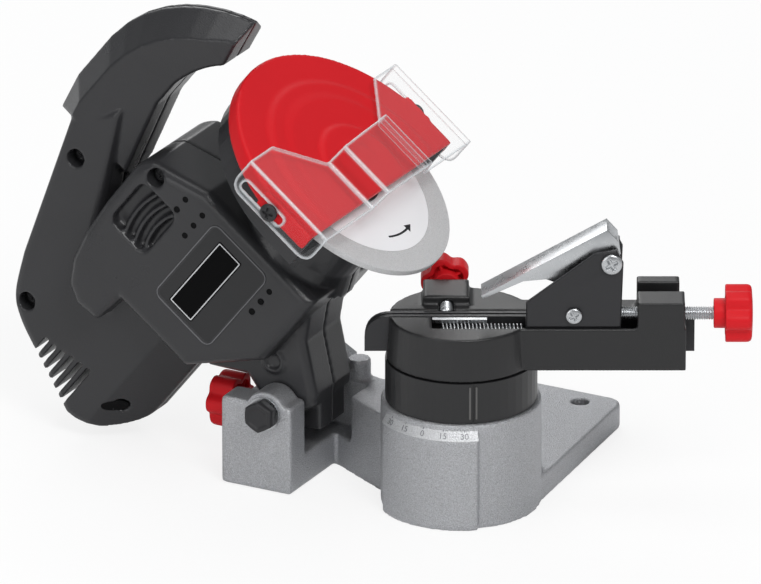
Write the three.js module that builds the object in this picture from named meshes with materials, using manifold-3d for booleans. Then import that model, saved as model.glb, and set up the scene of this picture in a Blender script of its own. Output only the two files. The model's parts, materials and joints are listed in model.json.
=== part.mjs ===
// Bench sharpener for saw chains: a tilting grinding head on a cast base beside a turning chain vise.
// Millimetres, +Z up. X runs from the head's pivot to the vise, Y from the operator to the bench.
import * as THREE from "three";
import { mergeVertices } from "three/addons/utils/BufferGeometryUtils.js";
import Module from "manifold-3d";

const wasm = await Module();
wasm.setup();

// Clearances and settings that pieces share
const gap = 0.3;
const overrun = 2;
const weld = 0.004;
const fine = 36;
const coarse = 16;
const rounds = 48;
const headTurn = 38.6;
const viseTurn = 28;

// Base casting
const pedestal = { radius: 35, height: 48.4, wall: 4.5, deck: 8, foot: 1.2 };
const scale = { rise: 2.3, band: 6.8, inset: 1.4, halfAngle: 39.5, tick: 0.5, tickWidth: 0.9 };
const plate = { thickness: 11.8, rear: 109, nearRight: 34, farRight: 25, left: 62, corner: 9, wall: 4,
  roof: 4 };
const plateHole = { radius: 4, x: 8, y: 98, pitch: 52 };
const yoke = { left: 101, right: 66.5, halfDepth: 33, height: 41, channelHalf: 19, floor: 15, wall: 7,
  edge: 1.2,
  relief: 10.5 };
const web = { thickness: 9, drop: 5, rear: 23 };
const post = { radius: 5, rise: 4, inset: 3 };
const pivotDrop = 4;
const pivot = { x: -79, z: yoke.height - pivotDrop, bossRadius: 9.5, boltRadius: 4, headRadius: 7.2,
  headHeight: 5.5,
  washer: 1.2 };
const nut = { radius: 7, height: 6 };

// Depth stop in the yoke
const depthDrop = 16;
const depth = { z: yoke.height - depthDrop, screwRadius: 3, tip: -80.7, travel: 6, knobRadius: 12.5,
  knobDepth: 12, hub: 6,
  hubRadius: 6.5 };

// Grinding head, in the frame of its pivot: x down the wheel's face, z out along the spindle
const spindle = { x: -43, radius: 4, low: 6 };
const handle = { half: 18, edge: 4, outer: -165, ridge: -161.4, inner: -128.5, top: 76, foot: 13.8,
  tipX: -120, tipZ: 117,
  inset: 11, flat: 2, sideFlat: 12, sideInset: 22, faceRise: 46, faceLeft: -153.5, faceTop: 24 };
const shell = { wall: 2.6, half: 32, edge: 5, left: -115, right: -16, low: -16, high: 57, seam: -83 };
const foot = { half: 19, edge: 3, right: -40.5, bottom: -86, chamfer: 19 };
const comb = { slots: 6, first: -96, pitch: 4.6, width: 2.2, top: -67.5, slope: 1 };
const vent = { width: 22, height: 27, x: -97, z: 24, depth: 6, corner: 5, fins: 3, fin: 1.8, sink: 2,
  bend: 34,
  pitch: 5.5 };
const label = { left: -72, right: -38, low: 1, high: 50, depth: 0.7, corner: 4 };
const dots = { radius: 1.1, depth: 2.2, pitch: 7, sides: 7 };
const dotRows = [{ x: -88.3, high: 47.2, count: 2 }, { x: -78.1, high: 47.8, count: 3 },
  { x: -34, high: 45.3, count: 3 }];
const neck = { radius: 27, high: 83.6, base: 31, flare: 62 };
const arm = { half: 18.4, hubRadius: 8.5, shoulder: 12, hubRear: 9, sleeveRadius: 5.7, knee: 19.2,
  kneeLow: 4, toe: 7.2,
  calf: 9.6, calfRise: 14.4, thighRise: 30, hip: 41.6 };
const tail = { back: 1.4, front: 15.5, low: -13.5, half: 11 };
const screwHole = { radius: 4.2, depth: 9 };
const footHole = { x: -52, z: -66, radius: 3.4, front: -11 };
const armBoss = { x: -14.3, z: 12.4, radius: 5.2, wall: 1.2, height: 1.6 };
const motor = { radius: 22, low: 14, high: 48, wall: 1.6, endHole: 10 };
const armature = { radius: 17, low: 25, high: 42, commutator: 8, commutatorLow: 20.5 };
const fan = { low: 49, high: 54, radius: 20, hub: 8, blades: 7, blade: 1.6 };
const bearing = { radius: 11, width: 7, high: 80 };
const wheel = { radius: 50, bore: 6, thickness: 3.2, z: 92.8, label: 39, relief: 0.25 };
const flange = { radius: 12, rear: 3.4, front: 1.5, hub: 5.6 };
const wheelNut = { radius: 7.5, height: 3 };
const guard = { radius: 65, back: 84, backPlate: 2.2, rim: 2.4, split: 96, face: 103.5, plate: 2,
  mouth: -31 };
const guardSwells = [{ radius: 50, tilt: 1.5 }, { radius: 24, tilt: 4.5 }];
const swell = { height: 3, slope: 12 };
const visor = { half: 66.7, wall: 1.6, low: 92.5, high: 110, top: -73, bottom: -25, dip: 18, wing: 46.6,
  corner: 7,
  raise: 9, lean: 0.96, stepOuter: 25, stepInner: 20 };
const visorSlot = { width: 4.6, top: -69, bottom: -45, corner: 2.07 };
const visorScrew = { x: -52, z: 98.4, headRadius: 4, headHeight: 2, shank: 2 };
const visorPad = { x: 15, height: 8 };
const rocker = { x: -60, z: 22, width: 14, length: 20, frame: 2.5, height: 2, lift: 2.4, peak: 4.08,
  narrow: 1.5 };
const gland = { x: -76, z: -46, radius: 6.5, length: 8, bore: 3.6 };
const housingScrew = { head: 3.4, headHeight: 2.6 };

// Chain vise, in a frame that turns with it: x along the bar, z from the underside of the base
const turntable = { inset: 1.9, height: 18.2, upperHeight: 20.1, upperInset: 2.4, taper: 1.2, boltRadius: 4,
  markAngle: 8.7 };
const viseTop = pedestal.height + turntable.height + turntable.upperHeight;
const bar = { front: -18.4, rear: 17, right: 97, frontWall: 1.9, channelRear: -3.4, channelDepth: 9 };
const rail = { left: -42, right: 101, front: -3.1, width: 2.3, depth: 16.2, corner: 12, slit: 1.6 };
const insert = { left: -12.6, right: 11, height: 1.6, depth: 3 };
const jaw = { slotRear: 4.7 };
const clamp = { x: -6.5, stand: 3, z: -1, knobRadius: 11, knobDepth: 11, hub: 4, hubRadius: 6, screw: 3,
  blockHalf: 10, blockInset: 4, blockRise: 4 };
const endBlock = { left: 76, right: 96.5, rise: 12, rearRight: 94.5, rearRise: 13, rear: 12 };
const stopRod = { y: -10, rise: 4.3, radius: 3, rest: 109 };
const stopKnob = { radius: 12.8, depth: 12, hub: 5, hubRadius: 6.5, dome: 2.5 };
const bracket = { left: 27.8, right: 68.8, front: -17, cheek: 2.8, rear: 3.6, step: 11.6, top: 36,
  shoulder: 57, wallLeft: 59, wallRight: 66, rearLeft: 42, rearStep: 13, rearShoulder: 61 };
const bridge = { left: 50, right: 60, low: 12.6, height: 3.6 };
const pawlPivot = { x: 64.7, rise: 30, radius: 2, head: 4.5, headHeight: 2.2, nutHeight: 3.3 };
const pawl = { front: -12.5, width: 14, lift: 13, length: 57.2, sheet: 1.5, flange: 17, nose: 7,
  tilt: 29.4, taper: 29, foot: 20.6, toe: 38.1, tail: 5 };
const shoeScrew = { x: 48.5, rise: 6, radius: 1.9, head: 3.5, headHeight: 1.8, length: 6 };
const spring = { left: -9, coil: 2.5, wire: 0.8, turns: 22, depth: 3.6 };
const torsion = { coil: 6.9, wire: 1.2, turns: 4, pitch: 1.9 };
const flutes = { reachShare: 1.22, radiusShare: 0.36 };
const lock = { radius: 20, height: 9, hub: 8, z: 15, lobes: 6 };

// Corners of the lower back, from the flat side's upper end down to the comb
const lowerBack = [[-129.9, -45.9], [-121.2, -63.9], [-111.6, -71.9], [-98.3, -77.6]];

const finishes = {
  castMetal: { color: 0xb4b4b8, metalness: 0.7, roughness: 0.55 },
  charcoal: { color: 0x3b3b3d, metalness: 0, roughness: 0.6 },
  blackPlastic: { color: 0x262626, metalness: 0, roughness: 0.5 },
  red: { color: 0xd8333b, metalness: 0, roughness: 0.35 },
  clear: { color: 0xe6eef0, metalness: 0, roughness: 0.1, transparent: true, opacity: 0.35 },
  abrasive: { color: 0xb6b4b0, metalness: 0, roughness: 0.95 },
  steel: { color: 0xc4c6c8, metalness: 1, roughness: 0.3 },
  blackSteel: { color: 0x2a2a2c, metalness: 0.8, roughness: 0.45 },
  copper: { color: 0xb87333, metalness: 1, roughness: 0.4 },
};

// Solids from geometries, and back
function solid(geometry) {
  const plain = geometry.clone();
  plain.deleteAttribute("normal");
  plain.deleteAttribute("uv");
  const merged = mergeVertices(plain.index ? plain.toNonIndexed() : plain, weld / 100);
  const triVerts = Uint32Array.from(merged.index.array);
  const vertProperties = Float32Array.from(merged.attributes.position.array);
  return new wasm.Manifold(new wasm.Mesh({ numProp: 3, vertProperties, triVerts }));
}

// Corners closer than the weld become one, and the triangles that this flattens go
function toGeometry(manifold) {
  const mesh = manifold.getMesh();
  const geometry = new THREE.BufferGeometry();
  geometry.setAttribute("position", new THREE.BufferAttribute(Float32Array.from(mesh.vertProperties), 3));
  geometry.setIndex(Array.from(mesh.triVerts));
  const merged = mergeVertices(geometry, weld);
  const corners = merged.index.array;
  const kept = [];
  for (let at = 0; at < corners.length; at += 3) {
    const [a, b, c] = [corners[at], corners[at + 1], corners[at + 2]];
    if (a !== b && b !== c && c !== a) kept.push(a, b, c);
  }
  merged.setIndex(kept);
  merged.computeVertexNormals();
  return merged;
}

// A stretch of y between two distances from the middle, on the front side (-1) or the rear side (1)
const sideSpan = (side, near, far) => (side < 0 ? [-far, -near] : [near, far]);

const union = (first, ...rest) => rest.reduce((sum, piece) => sum.add(piece), first);
const cut = (body, ...tools) => tools.reduce((left, tool) => left.subtract(tool), body);

function block(x0, x1, y0, y1, z0, z1) {
  const geometry = new THREE.BoxGeometry(x1 - x0, y1 - y0, z1 - z0);
  return solid(geometry.translate((x0 + x1) / 2, (y0 + y1) / 2, (z0 + z1) / 2));
}

// Round rods and discs along each axis, from one end to the other
function rodZ(radius, x, y, z0, z1, sides = fine) {
  const geometry = new THREE.CylinderGeometry(radius, radius, z1 - z0, sides).rotateX(Math.PI / 2);
  return solid(geometry.translate(x, y, (z0 + z1) / 2));
}

function rodY(radius, x, z, y0, y1, sides = fine) {
  return solid(new THREE.CylinderGeometry(radius, radius, y1 - y0, sides).translate(x, (y0 + y1) / 2, z));
}

function rodX(radius, y, z, x0, x1, sides = fine) {
  const geometry = new THREE.CylinderGeometry(radius, radius, x1 - x0, sides).rotateZ(-Math.PI / 2);
  return solid(geometry.translate((x0 + x1) / 2, y, z));
}

function coneZ(low, high, x, y, z0, z1, sides = fine) {
  const geometry = new THREE.CylinderGeometry(high, low, z1 - z0, sides).rotateX(Math.PI / 2);
  return solid(geometry.translate(x, y, (z0 + z1) / 2));
}

// An outline in x and z carried along y, with rounded edges where edge is given
function slabY(shape, y0, y1, edge = 0, steps = 2, curveSegments = coarse / 2) {
  const rounding = { bevelEnabled: edge > 0, bevelSize: edge, bevelThickness: edge, bevelOffset: -edge };
  const options = { depth: y1 - y0 - 2 * edge, bevelSegments: steps, curveSegments, ...rounding };
  return solid(new THREE.ExtrudeGeometry(shape, options).rotateX(Math.PI / 2).translate(0, y1 - edge, 0));
}

// An outline in x and y carried up z
function slabZ(shape, z0, z1, edge = 0, steps = 2, curveSegments = coarse / 2) {
  const rounding = { bevelEnabled: edge > 0, bevelSize: edge, bevelThickness: edge, bevelOffset: -edge };
  const options = { depth: z1 - z0 - 2 * edge, bevelSegments: steps, curveSegments, ...rounding };
  return solid(new THREE.ExtrudeGeometry(shape, options).translate(0, 0, z0 + edge));
}

// A slab across y that is full at its middle and drawn in by `inset` at each face
function taperedY(shape, half, flat, inset) {
  const rounding = { bevelEnabled: true, bevelSize: inset, bevelThickness: half - flat,
    bevelOffset: -inset };
  const options = { depth: 2 * flat, bevelSegments: 1, curveSegments: coarse / 2, ...rounding };
  return solid(new THREE.ExtrudeGeometry(shape, options).rotateX(Math.PI / 2).translate(0, flat, 0));
}

// A tube along z about the spindle
function ringZ(outer, inner, z0, z1, sides = fine) {
  const bore = rodZ(inner, spindle.x, 0, z0 - overrun, z1 + overrun, coarse);
  return cut(rodZ(outer, spindle.x, 0, z0, z1, sides), bore);
}

const polygon = (points) => new THREE.Shape(points.map(([x, y]) => new THREE.Vector2(x, y)));

// A rectangle whose corners are rounded
function rounded(x0, x1, y0, y1, corner) {
  const shape = new THREE.Shape();
  shape.moveTo(x0 + corner, y0).lineTo(x1 - corner, y0).quadraticCurveTo(x1, y0, x1, y0 + corner);
  shape.lineTo(x1, y1 - corner).quadraticCurveTo(x1, y1, x1 - corner, y1);
  shape.lineTo(x0 + corner, y1).quadraticCurveTo(x0, y1, x0, y1 - corner);
  shape.lineTo(x0, y0 + corner).quadraticCurveTo(x0, y0, x0 + corner, y0);
  return shape;
}

// The space beyond a plane through three points, on the side that `toward` points to
function beyond(a, b, c, toward, size) {
  const [first, second, third] = [a, b, c].map((p) => new THREE.Vector3(...p));
  const normal = new THREE.Plane().setFromCoplanarPoints(first, second, third).normal;
  if (normal.dot(new THREE.Vector3(...toward)) < 0) normal.negate();
  const turn = new THREE.Quaternion().setFromUnitVectors(new THREE.Vector3(0, 0, 1), normal);
  const centre = first.clone().add(second).add(third).divideScalar(3);
  const geometry = new THREE.BoxGeometry(size, size, size).translate(0, 0, size / 2).applyQuaternion(turn);
  return solid(geometry.translate(centre.x, centre.y, centre.z));
}

// A hand knob turned about z: lobes between finger flutes, a domed face and a hub behind it
function lobedKnob(radius, depthOf, dome, hubRadius, hubLength, lobes, bore) {
  const profile = [[0, 0], [radius - dome, 0], [radius, dome / 2], [radius, depthOf - dome],
    [radius - dome, depthOf]];
  profile.push([radius / 2, depthOf + dome / 3], [0, depthOf + dome / 2]);
  const outline = profile.map(([x, y]) => new THREE.Vector2(x, y));
  let body = solid(new THREE.LatheGeometry(outline, fine).rotateX(Math.PI / 2));
  for (let lobe = 0; lobe < lobes; lobe += 1) {
    const angle = ((lobe + 1 / 2) * 2 * Math.PI) / lobes;
    const reach = radius * flutes.reachShare;
    const flute = radius * flutes.radiusShare;
    body = cut(body, rodZ(flute, reach * Math.cos(angle), reach * Math.sin(angle), -overrun,
      depthOf + overrun, coarse));
  }
  body = union(body, rodZ(hubRadius, 0, 0, -hubLength, weld, coarse));
  return cut(body, rodZ(bore, 0, 0, -hubLength - overrun, depthOf - dome, coarse));
}

// A round wire wound about z: one unbroken tube of short steps, and its least gap to itself
function coilGeometry(radius, wire, turns, length) {
  const sides = 5;
  const steps = 8 * turns;
  const wireRadius = wire / 2;
  const pitch = length / turns;
  const positions = [];
  const indices = [];
  for (let step = 0; step <= steps; step += 1) {
    const angle = (step / 8) * 2 * Math.PI;
    const centre = [radius * Math.cos(angle), radius * Math.sin(angle), (pitch * step) / 8];
    for (let side = 0; side < sides; side += 1) {
      const around = (side / sides) * 2 * Math.PI;
      const out = radius + wireRadius * Math.cos(around);
      positions.push(out * Math.cos(angle), out * Math.sin(angle),
        centre[2] + wireRadius * Math.sin(around));
    }
  }
  for (let step = 0; step < steps; step += 1) {
    for (let side = 0; side < sides; side += 1) {
      const next = (side + 1) % sides;
      const [a, b, c, d] = [step * sides + side, step * sides + next, (step + 1) * sides + side,
        (step + 1) * sides + next];
      indices.push(a, c, b, b, c, d);
    }
  }
  for (let side = 1; side < sides - 1; side += 1) {
    indices.push(0, side, side + 1);
    indices.push(steps * sides, steps * sides + side + 1, steps * sides + side);
  }
  const geometry = new THREE.BufferGeometry();
  geometry.setAttribute("position", new THREE.Float32BufferAttribute(positions, 3));
  geometry.setIndex(indices);
  geometry.computeVertexNormals();
  return geometry;
}

// Least distance between turns of a coil, measured on points of its centre line
function leastCoilGap(name, radius, wire, turns, length) {
  const steps = 8 * turns;
  const point = (step) => {
    const angle = (step / 8) * 2 * Math.PI;
    return new THREE.Vector3(radius * Math.cos(angle), radius * Math.sin(angle), (length * step) / steps);
  };
  let least = Infinity;
  for (let a = 0; a <= steps; a += 1) {
    for (let b = a + 4; b <= steps; b += 1) least = Math.min(least, point(a).distanceTo(point(b)) - wire);
  }
  console.log(`${name}: least gap between turns ${least.toFixed(2)} mm`);
}

function colourOf(name) {
  return new THREE.MeshStandardMaterial({ name, ...finishes[name] });
}

function add(group, name, shape, finish) {
  const geometry = shape.isBufferGeometry ? shape : toGeometry(shape);
  const mesh = new THREE.Mesh(geometry, colourOf(finish));
  mesh.name = name;
  group.add(mesh);
  return mesh;
}

function turned(manifold, matrix) {
  return solid(toGeometry(manifold).applyMatrix4(matrix));
}

const machine = new THREE.Group();
const head = new THREE.Group();
head.position.set(pivot.x, 0, pivot.z);
head.rotation.y = THREE.MathUtils.degToRad(headTurn);
const vise = new THREE.Group();
vise.rotation.z = THREE.MathUtils.degToRad(viseTurn);
machine.add(head, vise);

// Base casting: hollow pedestal with its raised scale, yoke, diagonal web and bench plate
function baseCasting() {
  const tall = pedestal.height;
  let body = rodZ(pedestal.radius, 0, 0, 0, tall, rounds);
  const sector = new THREE.Shape();
  const start = -Math.PI / 2 - THREE.MathUtils.degToRad(scale.halfAngle);
  const end = -Math.PI / 2 + THREE.MathUtils.degToRad(scale.halfAngle);
  const reach = pedestal.radius + scale.rise;
  sector.moveTo(0, 0).lineTo(reach * Math.cos(start), reach * Math.sin(start));
  sector.absarc(0, 0, reach, start, end, false);
  sector.lineTo(0, 0);
  const raised = new THREE.ExtrudeGeometry(sector, { depth: tall, bevelEnabled: false,
    curveSegments: fine / 2 });
  const band = tall - scale.band;
  const profile = [[0, 0], [reach + overrun, 0], [reach + overrun, band], [reach, band]];
  profile.push([pedestal.radius - scale.inset, tall], [0, tall]);
  const outline = profile.map(([x, y]) => new THREE.Vector2(x, y));
  const bevelled = new THREE.LatheGeometry(outline, rounds).rotateX(Math.PI / 2);
  body = union(body, solid(raised).intersect(solid(bevelled)));
  const bench = new THREE.Shape();
  bench.moveTo(-plate.left, pedestal.radius / 2).lineTo(plate.nearRight, 0).lineTo(plate.farRight,
    plate.rear - plate.corner);
  bench.quadraticCurveTo(plate.farRight, plate.rear, plate.farRight - plate.corner, plate.rear);
  bench.lineTo(-plate.left + plate.corner, plate.rear);
  bench.quadraticCurveTo(-plate.left, plate.rear, -plate.left, plate.rear - plate.corner);
  body = union(body, slabZ(bench, 0, plate.thickness, pedestal.foot / 2, 1));
  const yokeShape = new THREE.Shape();
  yokeShape.moveTo(-yoke.left, -yoke.halfDepth).lineTo(-yoke.right, -yoke.halfDepth);
  yokeShape.lineTo(-yoke.right, yoke.halfDepth).lineTo(-yoke.left, yoke.halfDepth);
  body = union(body, slabZ(yokeShape, 0, yoke.height, yoke.edge, 1));
  const diagonal = polygon([[-pedestal.radius, -web.thickness], [-yoke.right - web.thickness,
    web.rear - web.thickness],
    [-yoke.right - web.thickness, web.rear + web.thickness], [-pedestal.radius / 2, web.rear]]);
  body = union(body, slabZ(diagonal, 0, yoke.height - web.drop, 0));
  body = union(body, rodZ(post.radius, -yoke.right + post.inset, web.rear + post.radius / 2, 0,
    yoke.height + post.rise, coarse));
  body = union(body, rodY(pivot.bossRadius, pivot.x, pivot.z, -yoke.halfDepth - gap, yoke.halfDepth + gap));
  const channel = block(-yoke.left + yoke.wall, -yoke.right + yoke.relief, -yoke.channelHalf,
    yoke.channelHalf, yoke.floor, yoke.height + pivot.bossRadius);
  const overWall = block(-yoke.left - overrun, -yoke.right, -yoke.channelHalf, yoke.channelHalf,
    depth.z + pivot.bossRadius, yoke.height + pivot.bossRadius);
  const hollow = rodZ(pedestal.radius - pedestal.wall, 0, 0, -overrun, tall - pedestal.deck, fine);
  const under = slabZ(rounded(-plate.left + plate.wall, plate.farRight - plate.wall,
    pedestal.radius + plate.wall, plate.rear - plateHole.radius * 5, plate.corner), -overrun,
      plate.thickness - plate.roof);
  const yokeHollow = block(-yoke.left + yoke.wall, -yoke.right - yoke.wall, -yoke.halfDepth + yoke.wall,
    yoke.halfDepth - yoke.wall, -overrun, yoke.floor - plate.roof);
  body = cut(body, channel, overWall, hollow, under, yokeHollow);
  body = cut(body, rodZ(turntable.boltRadius + gap, 0, 0, 0, tall + overrun, coarse));
  body = cut(body, rodY(pivot.boltRadius + gap, pivot.x, pivot.z, -yoke.halfDepth - overrun,
    yoke.halfDepth + overrun));
  body = cut(body, rodX(depth.screwRadius + gap, 0, depth.z, -yoke.left - overrun,
    -yoke.left + yoke.wall + overrun));
  for (const x of [plateHole.x, plateHole.x - plateHole.pitch]) {
    body = cut(body, rodZ(plateHole.radius, x, plateHole.y, -overrun, plate.thickness + overrun, coarse));
  }
  return body;
}

function buildBase(group) {
  add(group, "base_casting", baseCasting(), "castMetal");
  const face = yoke.halfDepth + gap;
  const bolt = union(rodY(pivot.boltRadius, pivot.x, pivot.z, -face - pivot.washer - pivot.headHeight / 2,
    face + nut.height + overrun),
    rodY(pivot.headRadius, pivot.x, pivot.z, -face - pivot.washer - gap - pivot.headHeight,
      -face - pivot.washer - gap, 6));
  add(group, "pivot_bolt", bolt, "blackSteel");
  const washer = (from, to) => cut(rodY(pivot.headRadius + gap, pivot.x, pivot.z, from, to, coarse),
    rodY(pivot.boltRadius + gap, pivot.x, pivot.z, from - overrun, to + overrun, coarse));
  add(group, "pivot_washer_front", washer(-face - pivot.washer, -face - gap), "steel");
  add(group, "pivot_washer_rear", washer(face + gap, face + pivot.washer), "steel");
  const lockNut = cut(rodY(nut.radius, pivot.x, pivot.z, face + pivot.washer + gap,
    face + pivot.washer + nut.height, 6),
    rodY(pivot.boltRadius + gap, pivot.x, pivot.z, face, face + 2 * nut.height, coarse));
  add(group, "pivot_nut", lockNut, "steel");
  const length = torsion.turns * torsion.pitch;
  leastCoilGap("torsion_spring", torsion.coil, torsion.wire, torsion.turns, length);
  const coil = coilGeometry(torsion.coil, torsion.wire, torsion.turns, length).rotateX(-Math.PI / 2);
  add(group, "torsion_spring", coil.translate(pivot.x, arm.hubRear + gap + torsion.wire, pivot.z), "steel");
}

function buildDepthStop(group) {
  const wallFace = -yoke.left;
  const hubEnd = wallFace - depth.travel / 4;
  const screw = rodX(depth.screwRadius, 0, depth.z, hubEnd - depth.hub - depth.knobDepth / 2, depth.tip,
    coarse);
  add(group, "depth_screw", screw, "steel");
  const knob = lobedKnob(depth.knobRadius, depth.knobDepth, stopKnob.dome, depth.hubRadius, depth.hub, 5,
    depth.screwRadius + gap);
  const toPlace = new THREE.Matrix4().makeRotationY(-Math.PI / 2);
  toPlace.setPosition(hubEnd - depth.hub, 0, depth.z);
  add(group, "depth_knob", turned(knob, toPlace), "red");
}

// The grip's outer curve: from the tip over the back down to the cap, and far inside the body behind it
function gripBack() {
  const shape = new THREE.Shape();
  const lip = handle.tipZ - handle.top;
  const far = handle.tipX + handle.tipZ;
  shape.moveTo(far, handle.tipZ + far).lineTo(handle.tipX, handle.tipZ);
  shape.bezierCurveTo(handle.tipX - lip / 2, handle.tipZ - lip / 5, handle.ridge - overrun,
    handle.top + lip / 3, handle.outer, handle.top - handle.half);
  shape.lineTo(handle.outer, handle.foot + handle.half).lineTo(handle.ridge, handle.foot).lineTo(far,
    handle.foot);
  return shape;
}

// The grip's inner curve, with all that lies outside it
function gripInside() {
  const shape = new THREE.Shape();
  const lip = handle.tipZ - handle.top;
  const far = 2 * handle.outer;
  shape.moveTo(handle.tipX - lip / 5, handle.tipZ + lip).lineTo(handle.tipX + shell.wall,
    handle.tipZ - lip / 2);
  shape.quadraticCurveTo(handle.inner + shell.edge / 2, handle.top + lip / 4, handle.inner,
    handle.top - shell.edge);
  shape.lineTo(handle.inner, shell.high).lineTo(shell.left + shell.edge, shell.low);
  shape.lineTo(far, shell.low).lineTo(far, handle.tipZ + lip);
  return shape;
}

// The flat sides: below the grip, down the lower back to the comb and round the foot
function footOutline() {
  const shape = new THREE.Shape();
  shape.moveTo(handle.faceLeft, handle.faceTop).lineTo(...lowerBack[0]);
  shape.splineThru(lowerBack.slice(1).map(([x, z]) => new THREE.Vector2(x, z)));
  const heel = comb.first + comb.pitch * comb.slots;
  const low = foot.bottom - foot.edge;
  shape.lineTo(heel, low);
  shape.bezierCurveTo(heel + comb.pitch * 3, low, foot.right, low + foot.half, foot.right,
    foot.bottom + 2 * foot.edge + foot.half);
  shape.lineTo(foot.right, shell.low + shell.edge).lineTo(shell.left + shell.edge, shell.low + shell.edge);
  shape.lineTo(handle.faceLeft + handle.half - overrun, handle.faceRise);
  return shape;
}

// Handle, motor body, neck and arm that both half shells share
function headSolid() {
  const grip = taperedY(gripBack(), handle.half, handle.flat, handle.inset)
    .intersect(taperedY(gripInside(), handle.half, handle.sideFlat, handle.sideInset));
  let body = union(grip, slabY(footOutline(), -handle.half, handle.half, handle.edge));
  const bodyShape = new THREE.Shape();
  const nose = shell.low - 3 * shell.edge - overrun;
  bodyShape.moveTo(shell.right, shell.low + shell.half).lineTo(shell.right, shell.high).lineTo(shell.seam,
    shell.high);
  bodyShape.lineTo(shell.left + shell.edge, shell.high - 2 * shell.edge);
  bodyShape.quadraticCurveTo(shell.left, shell.high - 3 * shell.edge, shell.left,
    shell.high - 4 * shell.edge);
  bodyShape.bezierCurveTo(shell.left, shell.low + shell.edge, shell.left + shell.edge,
    nose - 2 * shell.edge, shell.seam, nose);
  bodyShape.lineTo(shell.seam + overrun, shell.low).lineTo(foot.right, shell.low);
  body = union(body, slabY(bodyShape, -shell.half, shell.half, shell.edge, 3, 6));
  body = union(body, coneZ(neck.base, neck.radius, spindle.x, 0, shell.high - shell.edge, neck.flare));
  body = union(body, rodZ(neck.radius, spindle.x, 0, shell.high - shell.edge, neck.high));
  const armShape = polygon([[foot.right + shell.edge, shell.low], [-arm.knee, -arm.kneeLow],
    [-arm.shoulder / 4, -arm.hubRadius],
    [arm.toe, -arm.kneeLow], tailPoint(tail.front, -weld), [arm.calf, arm.calfRise], [-arm.calf,
      arm.thighRise],
    [shell.right - weld, arm.hip], [foot.right, shell.half]]);
  const tailShape = polygon([tailPoint(tail.back, tail.low), tailPoint(tail.front, tail.low),
    tailPoint(tail.front, arm.hubRadius / 2), tailPoint(tail.back, arm.hubRadius / 2)]);
  const limb = union(slabY(armShape, -arm.half, arm.half, shell.wall, 1), rodY(arm.hubRadius, 0, 0,
    -arm.half, arm.half), slabY(tailShape, -tail.half, tail.half));
  const springSpace = cut(rodY(arm.shoulder, 0, 0, arm.hubRear, arm.half + overrun),
    rodY(arm.sleeveRadius, 0, 0, 0, arm.half));
  const rim = arm.half + armBoss.height;
  const bossRing = cut(rodY(armBoss.radius, armBoss.x, armBoss.z, -rim, 0, coarse),
    rodY(armBoss.radius - armBoss.wall, armBoss.x, armBoss.z, -rim - overrun, -arm.half, coarse));
  return union(body, cut(limb, springSpace), bossRing);
}

// A point of the yoke's plane, turned into the head's frame
function tailPoint(alongX, alongZ) {
  const turn = THREE.MathUtils.degToRad(headTurn);
  return [alongX * Math.cos(turn) - alongZ * Math.sin(turn),
    alongX * Math.sin(turn) + alongZ * Math.cos(turn)];
}

// Rooms inside the two half shells: motor, vent side, foot and grip, with the bores for bearing and shaft
function headHollow() {
  const wall = shell.wall + shell.edge / 2;
  const room = block(shell.seam, shell.right - wall, -shell.half + wall, shell.half - wall,
    shell.low + shell.half + wall, shell.high - shell.wall);
  const ventSide = shell.half - vent.depth - shell.wall;
  const low = block(shell.left + 3 * wall, foot.right - wall, -ventSide, ventSide,
    shell.low + shell.wall, shell.high - 3 * shell.edge - wall);
  const footRoom = block(comb.first + 2 * wall, foot.right - 2 * wall, -foot.half / 2, foot.half / 2,
    comb.top + comb.slots * comb.slope + wall, shell.low + shell.edge);
  const grip = block(handle.outer + handle.inset, handle.inner - wall, -handle.half / 2, handle.half / 2,
    handle.foot + 2 * wall, handle.top - 2 * wall);
  const bore = rodZ(bearing.radius + gap, spindle.x, 0, shell.high - overrun * 3, bearing.high);
  const drum = rodZ(motor.radius + gap, spindle.x, 0, motor.low - gap, fan.high + overrun);
  const shaft = rodZ(spindle.radius + 2 * gap, spindle.x, 0, spindle.low, neck.high + overrun, coarse);
  return union(room, low, footRoom, grip, bore, drum, shaft);
}

// Comb slots through the foot's end and the two slanted corners of the foot
function footDetails(body) {
  let shaped = body;
  const under = foot.bottom - foot.half;
  for (let slot = 0; slot < comb.slots; slot += 1) {
    const x = comb.first + comb.pitch * slot;
    const top = comb.top + comb.slope * slot;
    shaped = cut(shaped, block(x - comb.width / 2, x + comb.width / 2, -shell.half, shell.half, under,
      top));
  }
  const footOnly = block(comb.first, foot.right + overrun, -shell.half, shell.half, under,
    shell.low - shell.edge / 2);
  for (const side of [-1, 1]) {
    const near = side * foot.half / 3;
    const corner = [foot.right - foot.chamfer, side * foot.half, foot.bottom];
    const facet = beyond([foot.right, near, shell.low], [foot.right, near, foot.bottom], corner, [1, side,
      0], foot.half * 8);
    shaped = cut(shaped, facet.intersect(footOnly));
  }
  return cut(shaped, rodY(footHole.radius, footHole.x, footHole.z, -shell.half, footHole.front, coarse));
}

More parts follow.
